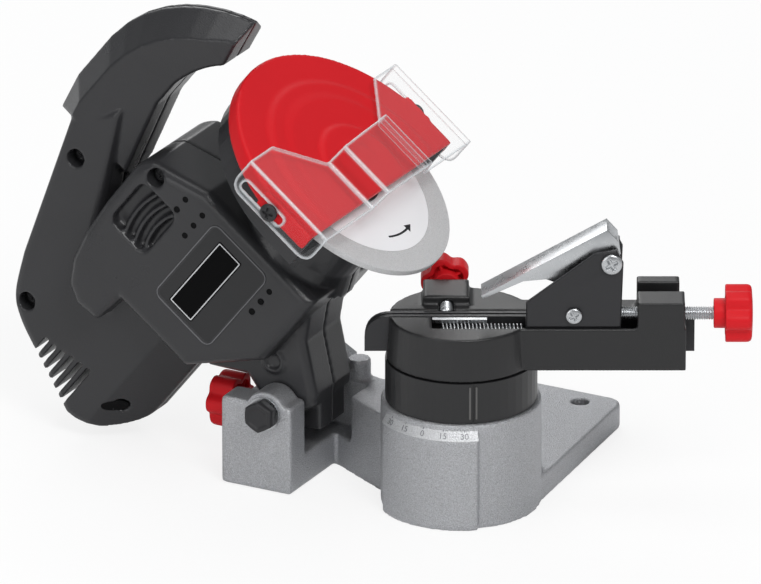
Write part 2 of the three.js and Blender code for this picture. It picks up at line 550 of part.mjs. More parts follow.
// Label panel, seam, vent, rows of holes and screw holes in both faces
function shellDetails(body) {
  let shaped = footDetails(body);
  for (const side of [-1, 1]) {
    const sink = (amount) => sideSpan(side, shell.half - amount, shell.half + overrun);
    const panel = rounded(label.left, label.right, label.low, label.high, label.corner);
    shaped = cut(shaped, slabY(panel, ...sink(label.depth)));
    shaped = cut(shaped, block(shell.seam - gap, shell.seam + gap, ...sink(label.depth), shell.low,
      shell.high + overrun));
    shaped = ventOf(shaped, side, sink);
    for (const row of dotRows) {
      for (let dot = 0; dot < row.count; dot += 1) {
        const z = row.high - dots.pitch * dot;
        shaped = cut(shaped, rodY(dots.radius, row.x, z, ...sink(dots.depth), dots.sides));
      }
    }
  }
  for (const { x, z, face } of screwPlaces()) {
    shaped = cut(shaped, rodY(screwHole.radius, x, z, -shell.half - overrun, screwHole.depth - face,
      coarse));
  }
  return shaped;
}

// A rounded air vent crossed by fins that bend round the motor
function ventOf(body, side, sink) {
  const { x, z, width, height } = vent;
  const opening = (grow) => rounded(x - width / 2 - grow, x + width / 2 + grow, z - height / 2 - grow,
    z + height / 2 + grow, vent.corner);
  let shaped = cut(body, slabY(opening(0), ...sink(vent.depth)));
  const depths = sideSpan(side, shell.half - vent.depth - gap, shell.half - vent.sink);
  const inside = slabY(opening(gap), ...depths);
  for (let fin = 0; fin < vent.fins; fin += 1) {
    const radius = vent.bend + vent.pitch * (fin - (vent.fins - 1) / 2);
    const ring = cut(rodY(radius, x + vent.bend, z, ...depths, rounds),
      rodY(radius - vent.fin, x + vent.bend, z, -shell.half, shell.half, rounds));
    shaped = union(shaped, ring.intersect(inside));
  }
  return shaped;
}

// Housing screws in the handle, body and foot
function screwPlaces() {
  return [{ x: -139, z: 10.5, face: handle.half }, { x: -104.5, z: 43, face: shell.half },
    { x: -113.8, z: -61.5, face: handle.half }];
}

function buildHousing(group) {
  const full = shellDetails(headSolid());
  const hollow = headHollow();
  const size = 4 * handle.tipZ;
  const front = block(-size, size, -size, -gap / 2, -size, size);
  const rear = block(-size, size, gap / 2, size, -size, size);
  const pinHole = rodY(pivot.boltRadius + gap, 0, 0, -size, size, coarse);
  const open = cut(full, hollow, pinHole);
  add(group, "housing_front", open.intersect(front), "charcoal");
  let back = open.intersect(rear);
  back = cut(back, slabAt(rocker.frame, shell.half / 2, shell.half + overrun));
  back = cut(back, rodY(gland.radius - gland.bore / 2, gland.x, gland.z, 0, shell.half, coarse));
  add(group, "housing_rear", back, "charcoal");
}

// A block of the rocker switch's size, less an inset on all four sides, between two depths
function slabAt(inset, y0, y1, extra = 0) {
  const [halfLong, halfWide] = [rocker.length / 2 - inset, rocker.width / 2 - inset - extra];
  return block(rocker.x - halfLong, rocker.x + halfLong, y0, y1, rocker.z - halfWide, rocker.z + halfWide);
}

// Motor, spindle and wheel
function buildDrive(group) {
  const x = spindle.x;
  const inside = ringZ(motor.radius - motor.wall, spindle.radius, motor.low + motor.wall,
    motor.high - motor.wall);
  const can = cut(rodZ(motor.radius, x, 0, motor.low, motor.high), inside,
    rodZ(motor.endHole, x, 0, motor.low - overrun, motor.high + overrun, coarse));
  add(group, "motor_can", can, "steel");
  const eye = spindle.radius + gap;
  const rearLow = motor.low + gap;
  add(group, "rear_bearing", ringZ(motor.endHole - gap, eye, rearLow, rearLow + bearing.width / 2),
    "steel");
  add(group, "front_bearing", ringZ(bearing.radius, eye, bearing.high - bearing.width,
    bearing.high - gap), "steel");
  const core = union(rodZ(spindle.radius, x, 0, spindle.low + shell.wall,
    flangeTop() + wheelNut.height + gap, coarse), rodZ(armature.radius, x, 0, armature.low, armature.high),
    rodZ(armature.commutator, x, 0, armature.commutatorLow, armature.low + weld, coarse));
  add(group, "armature", core, "steel");
  const vanes = [];
  for (let blade = 0; blade < fan.blades; blade += 1) {
    const vane = new THREE.BoxGeometry(fan.radius - fan.hub + overrun / 2, fan.blade, fan.high - fan.low);
    vane.translate((fan.radius + fan.hub - overrun / 2) / 2, 0, (fan.high + fan.low) / 2);
    vanes.push(solid(vane.rotateZ((blade / fan.blades) * 2 * Math.PI).translate(x, 0, 0)));
  }
  const hub = rodZ(fan.hub, x, 0, fan.low, fan.high + overrun, coarse);
  const shaftHole = rodZ(eye, x, 0, fan.low - overrun, fan.high + 2 * overrun, coarse);
  add(group, "fan", cut(union(hub, ...vanes), shaftHole), "blackPlastic");
  const wheelTop = wheel.z + wheel.thickness;
  const rear = union(ringZ(flange.radius, eye, wheel.z - gap - flange.rear, wheel.z - gap),
    ringZ(flange.hub, eye, wheel.z - gap - weld, wheelTop - gap));
  add(group, "rear_flange", rear, "steel");
  const disc = cut(rodZ(wheel.radius, x, 0, wheel.z, wheelTop, rounds),
    rodZ(wheel.bore, x, 0, wheel.z - overrun, wheelTop + overrun, coarse),
    rodZ(wheel.label, x, 0, wheelTop - wheel.relief, wheelTop + overrun));
  add(group, "grinding_wheel", disc, "abrasive");
  add(group, "front_flange", ringZ(flange.radius, eye, flangeTop() - flange.front, flangeTop() - gap),
    "blackSteel");
  add(group, "spindle_nut", ringZ(wheelNut.radius, eye, flangeTop(), flangeTop() + wheelNut.height, 6),
    "steel");
}

// Height of the front flange's face, over the wheel and its clearances
function flangeTop() {
  return wheel.z + wheel.thickness + flange.front + gap;
}

// A round guard outline with straight skirts down to its open mouth
function guardOutline(radius, mouth) {
  const shape = new THREE.Shape();
  shape.moveTo(mouth, -radius).lineTo(mouth, radius).lineTo(spindle.x, radius);
  shape.absarc(spindle.x, 0, radius, Math.PI / 2, (3 * Math.PI) / 2, false);
  return shape;
}

function buildGuard(group) {
  const backRadius = guard.radius - guard.rim - gap;
  const inside = (radius) => guardOutline(radius, guard.mouth + overrun);
  const backTop = guard.face - guard.plate - gap;
  const back = cut(slabZ(guardOutline(backRadius, guard.mouth), guard.back, backTop, 0, 2, coarse),
    slabZ(inside(backRadius - guard.rim), guard.back + guard.backPlate, backTop + overrun, 0, 2, coarse),
    rodZ(spindle.radius + 2 * gap, spindle.x, 0, guard.back - overrun, guard.back + 2 * overrun, coarse));
  add(group, "guard_back", back, "charcoal");
  const top = guard.face;
  const low = guard.split - guard.plate / 2;
  let cover = slabZ(guardOutline(guard.radius, guard.mouth), low, top, guard.plate / 2, 2, coarse);
  cover = cut(cover, slabZ(inside(guard.radius - guard.rim), guard.split - guard.plate, top - guard.plate,
    0, 2, coarse));
  for (const { radius, tilt } of guardSwells) {
    const disc = new THREE.CylinderGeometry(radius - swell.slope, radius, swell.height,
      rounds).rotateX(Math.PI / 2);
    disc.translate(0, 0, -swell.height / 2).rotateY(THREE.MathUtils.degToRad(tilt));
    const raised = solid(disc.translate(spindle.x, 0, top));
    const kept = block(spindle.x - guard.radius, guard.mouth, -guard.radius, guard.radius,
      top - guard.plate / 2, top + guard.radius);
    cover = union(cover, raised.intersect(kept));
  }
  for (const side of [-1, 1]) {
    const face = visor.half - visor.wall - gap;
    const pad = block(visorScrew.x - visorPad.x / 2, visorScrew.x + visorPad.x / 2,
      ...sideSpan(side, guard.radius - guard.rim / 2, face), low, guard.split + visorPad.height);
    const pilot = rodY(visorScrew.shank + gap, visorScrew.x, visorScrew.z,
      ...sideSpan(side, guard.radius - visorPad.x, visor.half), coarse);
    cover = cut(union(cover, pad), pilot);
    add(group, side < 0 ? "visor_screw_front" : "visor_screw_rear", visorScrewSolid(side), "blackSteel");
  }
  add(group, "guard_cover", cover, "red");
}

function visorScrewSolid(side) {
  const face = visor.half + gap;
  const { x, z } = visorScrew;
  const shank = rodY(visorScrew.shank, x, z, ...sideSpan(side, guard.radius - guard.rim / 2, face), coarse);
  return union(shank, rodY(visorScrew.headRadius, x, z, ...sideSpan(side, face,
    face + visorScrew.headHeight), coarse));
}

// Clear visor: a bent sheet, raised over the wheel's nut, with a dipped edge and a slotted flange at each side
function buildVisor(group) {
  const reach = visor.half;
  const wall = visor.wall;
  const top = visor.high + visor.raise;
  const half = [[reach, visor.low], [reach, visor.high], [visor.stepOuter, visor.high], [visor.stepInner,
    top]];
  const inner = [[visor.stepInner - visor.lean, top - wall], [visor.stepOuter - visor.lean,
    visor.high - wall], [reach - wall, visor.high - wall], [reach - wall, visor.low]];
  const mirror = (points) => points.map(([y, z]) => [-y, z]);
  const section = [...half, ...mirror([...half].reverse()), ...mirror([...inner].reverse()), ...inner];
  const across = new THREE.Matrix4().makeBasis(new THREE.Vector3(0, 1, 0), new THREE.Vector3(0, 0, 1),
    new THREE.Vector3(1, 0, 0));
  const bent = new THREE.ExtrudeGeometry(polygon(section), { depth: visor.bottom - visor.top,
    bevelEnabled: false });
  let sheet = solid(bent.applyMatrix4(across).translate(visor.top, 0, 0));
  const edge = visor.top + visor.dip;
  const face = polygon([[visor.bottom + overrun, -reach - overrun], [visor.bottom + overrun,
    reach + overrun],
    [visor.top - overrun, reach + overrun], [visor.top, visor.wing], [edge, visor.stepOuter],
    [edge + visor.corner / 4, -visor.stepOuter], [visor.top, -visor.wing], [visor.top - overrun,
      -reach - overrun]]);
  sheet = sheet.intersect(slabZ(face, visor.low - overrun, top + overrun));
  sheet = sheet.intersect(slabY(rounded(visor.top, visor.bottom, visor.low, top + 2 * visor.corner,
    visor.corner), -reach - overrun, reach + overrun));
  const slotHalf = visorSlot.width / 2;
  const slotShape = rounded(visorSlot.top, visorSlot.bottom, visorScrew.z - slotHalf,
    visorScrew.z + slotHalf, visorSlot.corner);
  sheet = cut(sheet, slabY(slotShape, -reach - overrun, wall - reach + overrun), slabY(slotShape,
    reach - wall - overrun, reach + overrun));
  add(group, "visor", sheet, "clear");
}

// Rocker switch and cord gland, both on the rear half
function buildSwitch(group) {
  const y = shell.half;
  const border = 2 * rocker.frame;
  const narrow = rocker.narrow;
  const frame = slabAt(0, y + gap, y + gap + rocker.height);
  const body = slabAt(rocker.frame + gap, y - 2 * border, y + 2 * gap);
  const well = slabAt(border, y - rocker.frame, y + 2 * border, -narrow);
  add(group, "switch_frame", cut(union(frame, body), well), "blackPlastic");
  const half = rocker.length / 2 - border - 2 * gap;
  const rise = rocker.lift;
  const shape = polygon([[-half, 0], [half, 0], [half, rise / 2], [0, rise], [-half, rocker.peak]]);
  const wide = rocker.width / 2 - border + narrow - gap;
  const key = slabZ(shape, rocker.z - wide, rocker.z + wide);
  add(group, "switch_rocker", solid(toGeometry(key).translate(rocker.x, y + 2 * gap, 0)), "red");
  const collar = rodY(gland.radius, gland.x, gland.z, foot.half + gap, foot.half + gap + gland.length / 2,
    coarse);
  const tube = rodY(gland.radius - gland.bore / 2 - gap, gland.x, gland.z, foot.half - shell.wall,
    foot.half + gap + gland.length, coarse);
  const bore = rodY(gland.bore, gland.x, gland.z, 0, shell.half + gland.length, coarse);
  add(group, "cord_gland", cut(union(collar, tube), bore), "blackPlastic");
}

// A point of the pawl given along it from its pivot and square to it, in the vise's x and z
function pawlPoint(along, across) {
  const tilt = THREE.MathUtils.degToRad(pawl.tilt);
  const x = pawlPivot.x - along * Math.cos(tilt) - across * Math.sin(tilt);
  return [x, viseTop + pawlPivot.rise - along * Math.sin(tilt) + across * Math.cos(tilt)];
}

// Outline of both rails: a long plate with a rounded upper corner at its free end
function railShape() {
  const shape = new THREE.Shape();
  const top = viseTop;
  shape.moveTo(rail.left, viseTop - rail.depth).lineTo(rail.right,
    viseTop - rail.depth).lineTo(rail.right, top);
  shape.lineTo(rail.left + rail.corner, top).quadraticCurveTo(rail.left, top, rail.left, top - rail.corner);
  return shape;
}

function buildTurntable(group) {
  const low = pedestal.height + gap;
  const split = low + turntable.height;
  const drumRadius = pedestal.radius - turntable.inset;
  const base = rodZ(drumRadius, 0, 0, low, split, rounds);
  const mark = THREE.MathUtils.degToRad(turntable.markAngle);
  const groove = solid(new THREE.BoxGeometry(scale.tickWidth, 2 * scale.tick, turntable.height)
    .translate(0, -drumRadius, low + turntable.height / 2).rotateZ(mark));
  const boltHole = rodZ(turntable.boltRadius + gap, 0, 0, low - overrun, split - overrun, coarse);
  add(group, "turntable_lower", cut(base, groove, boltHole), "blackPlastic");
  const bolt = rodZ(turntable.boltRadius, 0, 0, lock.z + lock.height / 2, split - overrun - gap, coarse);
  add(group, "turntable_bolt", bolt, "steel");
  const hubLength = pedestal.height - pedestal.deck - gap - lock.z - lock.height;
  const knob = lobedKnob(lock.radius, lock.height, stopKnob.dome, lock.hub, hubLength, lock.lobes,
    turntable.boltRadius + gap);
  const flip = new THREE.Matrix4().makeRotationX(Math.PI);
  flip.setPosition(0, 0, lock.z + lock.height);
  add(group, "lock_knob", turned(knob, flip), "blackPlastic");
}

function buildViseBody(group) {
  const top = viseTop;
  const bottom = pedestal.height + turntable.height + 2 * gap;
  const drumRadius = pedestal.radius - turntable.upperInset;
  const drum = coneZ(drumRadius, drumRadius - turntable.taper, 0, 0, bottom, top, rounds);
  const beam = block(0, bar.right, bar.front, bar.rear, bottom, top);
  const front = block(endBlock.left, endBlock.right, bar.front, bar.channelRear, top - overrun,
    top + endBlock.rise);
  const rear = block(endBlock.left, endBlock.rearRight, jaw.slotRear, endBlock.rear, top - overrun,
    top + endBlock.rearRise);
  const bossEnd = pedestal.radius - clamp.blockInset;
  const boss = block(clamp.x - clamp.blockHalf, clamp.x + clamp.blockHalf, clamp.blockHalf, bossEnd,
    bottom + bar.channelDepth, top + clamp.blockRise);
  let body = union(drum, beam, front, rear, boss);
  const channel = block(insert.left - gap, endBlock.left, bar.front + bar.frontWall, bar.channelRear + gap,
    top - bar.channelDepth, top + overrun);
  const slot = block(rail.left - overrun, rail.right + overrun, bar.channelRear, jaw.slotRear,
    viseTop - rail.depth - gap, top + endBlock.rearRise + overrun);
  const rod = rodX(stopRod.radius + gap, stopRod.y, top + stopRod.rise, bar.right - endBlock.rise * 2,
    bar.right + overrun, coarse);
  const screw = rodY(clamp.screw + gap, clamp.x, top + clamp.z, jaw.slotRear - overrun, bossEnd + overrun,
    coarse);
  body = cut(body, channel, slot, rod, screw);
  add(group, "vise_body", body, "blackPlastic");
}

function buildRails(group) {
  const top = viseTop;
  add(group, "rail_front", slabY(railShape(), rail.front, rail.front + rail.width), "blackSteel");
  add(group, "rail_rear", slabY(railShape(), rail.slit / 2, rail.slit / 2 + rail.width), "blackSteel");
  const seat = block(insert.left, insert.right, rail.front - gap - insert.depth, rail.front - gap,
    top - insert.height - gap, top - gap);
  const tab = block(insert.right - insert.height, insert.right, rail.front - gap - insert.height,
    rail.front - gap, top - bar.channelDepth + gap, top - insert.height);
  add(group, "rail_insert", union(seat, tab), "steel");
  const tip = rail.slit / 2 + rail.width + gap;
  const knobFoot = pedestal.radius + clamp.stand;
  add(group, "clamp_screw", rodY(clamp.screw, clamp.x, top + clamp.z, tip, knobFoot + clamp.knobDepth / 2,
    coarse), "steel");
  const knob = lobedKnob(clamp.knobRadius, clamp.knobDepth, stopKnob.dome, clamp.hubRadius, clamp.hub, 5,
    clamp.screw + gap);
  const toPlace = new THREE.Matrix4().makeRotationX(-Math.PI / 2);
  toPlace.setPosition(clamp.x, knobFoot, top + clamp.z);
  add(group, "clamp_knob", turned(knob, toPlace), "red");
}

function buildCarriage(group) {
  const top = viseTop;
  const cheek = (left, step, shoulder, y) => slabY(polygon([[left, top + gap], [bracket.right, top + gap],
    [bracket.right + overrun / 2, top + pawlPivot.rise], [pawlPivot.x + overrun, top + bracket.top],
    [shoulder, top + bracket.top - overrun], [left, top + step]]), y, y + bracket.cheek, gap * 2, 1);
  const front = cheek(bracket.left, bracket.step, bracket.shoulder, bracket.front);
  const rear = cheek(bracket.rearLeft, bracket.rearStep, bracket.rearShoulder, bracket.rear);
  const inner = [bracket.front + bracket.cheek / 2, bracket.rear + bracket.cheek / 2];
  const tie = block(bridge.left, bridge.right, ...inner, top + bridge.low,
    top + bridge.low + bridge.height);
  const nutWall = block(bracket.wallLeft, bracket.wallRight, ...inner, top + 2 * gap,
    top + stopRod.rise + 2 * stopRod.radius);
  const shoe = block(bracket.left, bracket.right, bar.front + bar.frontWall + gap, bar.channelRear - gap,
    top - bar.channelDepth + gap, top + gap + weld);
  const runner = block(bracket.left, bracket.right, bar.front + bar.frontWall + gap,
    bracket.front + bracket.cheek, top - gap, top + 2 * gap + overrun);
  let body = union(front, rear, tie, nutWall, shoe, runner);
  const pivotHole = rodY(pawlPivot.radius + gap, pawlPivot.x, top + pawlPivot.rise, bracket.front - overrun,
    bracket.rear + bracket.cheek + overrun, coarse);
  const shoeHole = rodY(shoeScrew.radius + gap, shoeScrew.x, top + shoeScrew.rise, bracket.front - overrun,
    bracket.front + bracket.cheek + overrun, coarse);
  const rodHole = rodX(stopRod.radius + gap, stopRod.y, top + stopRod.rise, bracket.wallLeft - overrun,
    bracket.right + overrun, coarse);
  body = cut(body, pivotHole, shoeHole, rodHole);
  add(group, "stop_bracket", body, "blackSteel");
  const rodEnd = stopRod.rest + stopKnob.hub + stopKnob.depth / 2;
  add(group, "stop_rod", rodX(stopRod.radius, stopRod.y, top + stopRod.rise, bracket.wallLeft, rodEnd,
    coarse), "steel");
  const knob = lobedKnob(stopKnob.radius, stopKnob.depth, stopKnob.dome, stopKnob.hubRadius, stopKnob.hub,
    6, stopRod.radius + gap);
  const toPlace = new THREE.Matrix4().makeRotationY(Math.PI / 2);
  toPlace.setPosition(stopRod.rest + stopKnob.hub, stopRod.y, top + stopRod.rise);
  add(group, "stop_knob", turned(knob, toPlace), "red");
  const screwAt = (x, z, radius, headRadius, headHeight, reach) => union(
    rodY(radius, x, z, bracket.front - gap - headHeight / 2, bracket.front + reach, coarse),
    rodY(headRadius, x, z, bracket.front - gap - headHeight, bracket.front - gap, coarse));
  const width = bracket.rear + bracket.cheek - bracket.front;
  add(group, "pawl_screw", screwAt(pawlPivot.x, top + pawlPivot.rise, pawlPivot.radius, pawlPivot.head,
    pawlPivot.headHeight, width + pawlPivot.head), "steel");
  add(group, "shoe_screw", screwAt(shoeScrew.x, top + shoeScrew.rise, shoeScrew.radius, shoeScrew.head,
    shoeScrew.headHeight, shoeScrew.length), "steel");
  const nutFrom = bracket.front + width + gap;
  const pawlNut = cut(rodY(pawlPivot.head, pawlPivot.x, top + pawlPivot.rise, nutFrom,
    nutFrom + pawlPivot.nutHeight, 6),
    rodY(pawlPivot.radius + gap, pawlPivot.x, top + pawlPivot.rise, nutFrom - overrun, nutFrom + width,
      coarse));
  add(group, "pawl_nut", pawlNut, "steel");
}

// Sheet metal pawl: a long top face folded down into a flange on each side
function buildPawl(group) {
  const top = viseTop;
  const tip = pawl.length;
  const side = polygon([[-pawl.tail, pawl.lift], [-pawl.tail - pawl.sheet, pawl.lift - pawl.nose],
    [-pawl.tail / 2, pawl.lift - pawl.flange],
    [pawl.foot, pawl.lift - pawl.flange], [pawl.taper, pawl.lift - pawl.nose],
    [pawl.toe, pawl.lift - 2 * pawl.sheet], [tip, pawl.lift - pawl.sheet], [tip, pawl.lift]]
    .map(([along, across]) => pawlPoint(along, across)));
  const outer = slabY(side, pawl.front, pawl.front + pawl.width);
  const tilt = THREE.MathUtils.degToRad(pawl.tilt);
  const inside = new THREE.BoxGeometry(2 * tip, pawl.width - 2 * pawl.sheet, 2 * pawl.flange)
    .translate(0, 0, -pawl.flange - pawl.sheet).rotateY(-tilt);
  const [x, z] = pawlPoint(tip / 2, pawl.lift);
  const hollow = solid(inside.translate(x, pawl.front + pawl.width / 2, z));
  const hole = rodY(pawlPivot.radius + gap, pawlPivot.x, top + pawlPivot.rise, pawl.front - overrun,
    pawl.front + pawl.width + overrun, coarse);
  add(group, "pawl", cut(outer, hollow, hole), "steel");
  const length = bracket.left - gap - spring.left - spring.wire;
  leastCoilGap("return_spring", spring.coil, spring.wire, spring.turns, length);
  const coil = coilGeometry(spring.coil, spring.wire, spring.turns, length).rotateY(Math.PI / 2);
  const from = spring.left + spring.wire / 2;
  add(group, "return_spring", coil.translate(from, stopRod.y, top - spring.depth), "steel");
}

// Screws that close the housing, seen in their deep holes
function buildHousingScrews(group) {
  screwPlaces().forEach(({ x, z, face }, index) => {
    const seat = screwHole.depth - face - gap;
    const screw = rodY(housingScrew.head, x, z, seat - housingScrew.headHeight, seat, coarse);
    add(group, `housing_screw_${index + 1}`, screw, "blackSteel");
  });
}

function buildAll() {
  buildBase(machine);
  buildDepthStop(machine);
  buildHousing(head);
  buildHousingScrews(head);
  buildDrive(head);
  buildGuard(head);
  buildVisor(head);
  buildSwitch(head);
  buildTurntable(vise);
  buildViseBody(vise);
  buildRails(vise);
  buildCarriage(vise);
  buildPawl(vise);
}

// The origin moves to the middle of the machine's outline on the bench
function placeOrigin() {
  machine.updateMatrixWorld(true);
  const outline = new THREE.Box3().setFromObject(machine, true);
  const middle = outline.getCenter(new THREE.Vector3());
  machine.position.set(-middle.x, -middle.y, -outline.min.z);
}

buildAll();
placeOrigin();

export default machine;
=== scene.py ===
"""Electric chainsaw sharpener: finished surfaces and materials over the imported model."""
import json
import math

import bmesh
import bpy
import numpy as np
from mathutils import Matrix, Vector


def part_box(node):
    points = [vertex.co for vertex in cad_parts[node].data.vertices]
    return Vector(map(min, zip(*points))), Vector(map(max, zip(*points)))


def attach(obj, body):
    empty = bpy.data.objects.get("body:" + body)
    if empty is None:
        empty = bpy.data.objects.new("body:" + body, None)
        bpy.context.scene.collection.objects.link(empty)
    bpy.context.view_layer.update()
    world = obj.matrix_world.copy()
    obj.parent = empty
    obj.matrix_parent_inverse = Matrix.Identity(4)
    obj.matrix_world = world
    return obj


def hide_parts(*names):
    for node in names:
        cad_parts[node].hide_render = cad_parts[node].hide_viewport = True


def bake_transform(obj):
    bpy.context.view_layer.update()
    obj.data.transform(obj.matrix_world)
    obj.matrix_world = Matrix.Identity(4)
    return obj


bl_info = {
    "name": "Chainsaw Sharpener",
    "version": (1, 0, 0),
    "blender": (4, 5, 0),
    "location": "View3D > Sidebar > Sharpener",
    "description": "Builds the finished surfaces of a bench chainsaw sharpener",
    "category": "Add Mesh",
}

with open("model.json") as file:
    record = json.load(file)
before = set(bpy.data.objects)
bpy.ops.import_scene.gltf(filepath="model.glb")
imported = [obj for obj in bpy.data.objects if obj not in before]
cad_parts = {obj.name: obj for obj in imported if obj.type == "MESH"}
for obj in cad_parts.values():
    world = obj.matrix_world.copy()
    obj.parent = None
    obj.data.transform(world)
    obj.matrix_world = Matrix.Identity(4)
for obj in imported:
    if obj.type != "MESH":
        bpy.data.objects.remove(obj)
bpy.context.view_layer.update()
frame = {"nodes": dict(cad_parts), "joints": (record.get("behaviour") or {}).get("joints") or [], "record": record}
NODES = frame["nodes"]
JOINTS = {joint["name"]: joint for joint in frame["joints"]}
MM = 0.001

# Frames of the machine, its head and its vise, all measured in millimetres
HEAD_TURN = math.radians(38.6)
VISE_TURN = math.radians(28)
PIVOT = Vector(JOINTS["head_tilt"]["pos_m"])
TURN_AXIS = Vector(JOINTS["vise_swivel"]["pos_m"])
MACHINE = Matrix.Translation((TURN_AXIS.x, TURN_AXIS.y, 0)) @ Matrix.Scale(MM, 4)
HEAD = Matrix.Translation(PIVOT) @ Matrix.Rotation(HEAD_TURN, 4, "Y") @ Matrix.Scale(MM, 4)
VISE = MACHINE @ Matrix.Rotation(VISE_TURN, 4, "Z")
VISE_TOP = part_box("rail_front")[1][2] / MM

# Stands a drawing in x and y up, so that it faces the front of its frame
UPRIGHT = Matrix.Rotation(math.radians(90), 4, "X")

# Places on the machine, the head and the vise, in millimetres of those frames
SPINDLE_X, WHEEL_SEAT = -43, 92.8
PIVOT_X, PIVOT_Z = -79, 37
DEPTH_Z = 25
ROD_Y, ROD_RISE = -10, 4.3
CLAMP_X, CLAMP_DROP = -6.5, 1
SHELL_SIDE, GRIP_SIDE = 32, 18
BRACKET_SIDE = 17.3

# Radius and height of the lower and the upper edge of the dial's cone
DIAL_LOW, DIAL_HIGH = np.array([37.3, 41.6]), np.array([33.6, 48.4])

# Depths of the fine relief in the finishes, and the distance under which points are one, in metres
GRAIN_DEPTH, CAST_DEPTH = 0.0002, 0.0003
MERGE = 1e-6


def linear(red, green, blue, alpha=1.0):
    """A colour given in 0 to 255 as seen on screen, as the linear values that shaders use."""
    seen = np.array([red, green, blue]) / 255
    low = seen / 12.92
    high = ((seen + 0.055) / 1.055) ** 2.4
    return (*np.where(seen <= 0.04045, low, high).tolist(), alpha)


class SharpenerSizes(bpy.types.PropertyGroup):
    """Sizes of the finished surfaces"""
    wheel_radius: bpy.props.FloatProperty(
        name="Wheel radius", description="Radius of the grinding wheel", default=0.05, unit="LENGTH")
    wheel_thickness: bpy.props.FloatProperty(
        name="Wheel thickness", description="Thickness of the grinding wheel", default=0.0032, unit="LENGTH")
    label_radius: bpy.props.FloatProperty(
        name="Label radius", description="Radius of the wheel's paper label", default=0.039, unit="LENGTH")
    thread_pitch: bpy.props.FloatProperty(
        name="Thread pitch", description="Pitch of the adjusting screws", default=0.001, unit="LENGTH")
    edge_rounding: bpy.props.FloatProperty(
        name="Edge rounding", description="Grid step that rounds moulded and cast edges", default=0.0009,
        unit="LENGTH")
    spring_turns: bpy.props.IntProperty(
        name="Spring turns", description="Turns of the return spring", default=22)
    camera_distance: bpy.props.FloatProperty(
        name="Camera distance", description="Distance from the camera to the object", default=6.0,
        unit="LENGTH")


class SharpenerColours(bpy.types.PropertyGroup):
    """Colours of the finished surfaces"""
    charcoal: bpy.props.FloatVectorProperty(
        name="Charcoal", description="Motor housing and handle", subtype="COLOR", size=4, min=0, max=1,
        default=linear(47, 47, 49))
    black: bpy.props.FloatVectorProperty(
        name="Black", description="Vise body, knobs under the base and switch", subtype="COLOR", size=4,
        min=0, max=1, default=linear(35, 35, 36))
    red: bpy.props.FloatVectorProperty(
        name="Red", description="Wheel guard and hand knobs", subtype="COLOR", size=4, min=0, max=1,
        default=linear(216, 30, 38))
    casting: bpy.props.FloatVectorProperty(
        name="Casting", description="Cast metal base", subtype="COLOR", size=4, min=0, max=1,
        default=linear(190, 191, 194))
    steel: bpy.props.FloatVectorProperty(
        name="Steel", description="Plated steel screws, pawl and rods", subtype="COLOR", size=4, min=0, max=1,
        default=linear(200, 202, 204))
    black_steel: bpy.props.FloatVectorProperty(
        name="Blackened steel", description="Bracket, rails and black screws", subtype="COLOR", size=4, min=0,
        max=1, default=linear(47, 47, 49))
    abrasive: bpy.props.FloatVectorProperty(
        name="Abrasive", description="Rim of the grinding wheel", subtype="COLOR", size=4, min=0, max=1,
        default=linear(205, 205, 206))
    label: bpy.props.FloatVectorProperty(
        name="Label", description="Paper label of the wheel", subtype="COLOR", size=4, min=0, max=1,
        default=linear(250, 250, 252))


def new_group(name, inputs, outputs):
    """An empty shader node group with named sockets."""
    group = bpy.data.node_groups.new(name, "ShaderNodeTree")
    for label, kind, value in inputs:
        socket = group.interface.new_socket(label, in_out="INPUT", socket_type=kind)
        if value is not None:
            socket.default_value = value
    for label, kind in outputs:
        group.interface.new_socket(label, in_out="OUTPUT", socket_type=kind)
    start = group.nodes.new("NodeGroupInput")
    end = group.nodes.new("NodeGroupOutput")
    return group, start, end


def feed(tree, value, socket):
    """Sets a socket to a number, or links another node's result to it."""
    if isinstance(value, (int, float)):
        socket.default_value = value
    else:
        tree.links.new(value, socket)


def math_node(tree, operation, *values, clamp=False):
    """The result of a Math node whose inputs are numbers or other nodes' results."""
    node = tree.nodes.new("ShaderNodeMath")
    node.operation = operation
    node.use_clamp = clamp
    for value, socket in zip(values, node.inputs):
        feed(tree, value, socket)
    return node.outputs[0]


def noise_node(tree, place, scale, detail, roughness=0.5):
    """The value of a noise texture whose scale is a number or another node's result."""
    noise = tree.nodes.new("ShaderNodeTexNoise")
    noise.inputs["Detail"].default_value = detail
    noise.inputs["Roughness"].default_value = roughness
    tree.links.new(place, noise.inputs["Vector"])
    feed(tree, scale, noise.inputs["Scale"])
    return noise.outputs["Fac"]


def seen_rays(tree):
    """1 for rays straight from the camera or through a clear sheet, and 0 for all others."""
    path = tree.nodes.new("ShaderNodeLightPath")
    return math_node(tree, "MAXIMUM", path.outputs["Is Camera Ray"], path.outputs["Is Transmission Ray"])


def mix_shaders(tree, share, first, second, output):
    """Feeds an output with the first shader, and with the second one by the given share."""
    mix = tree.nodes.new("ShaderNodeMixShader")
    tree.links.new(share, mix.inputs["Fac"])
    tree.links.new(first.outputs[0], mix.inputs[1])
    tree.links.new(second.outputs[0], mix.inputs[2])
    tree.links.new(mix.outputs[0], tree.nodes[output].inputs["Surface"])


def shaded(tree, colour, centred, change):
    """A colour scaled by 1 + centred * change."""
    tint = tree.nodes.new("ShaderNodeVectorMath")
    tint.operation = "SCALE"
    tree.links.new(colour, tint.inputs[0])
    tree.links.new(math_node(tree, "MULTIPLY_ADD", centred, change, 1), tint.inputs["Scale"])
    return tint.outputs[0]


def put_out(group, end, colour, roughness, height):
    """Links the three results of a group to its output."""
    for label, result in (("Colour", colour), ("Roughness", roughness), ("Height", height)):
        group.links.new(result, end.inputs[label])


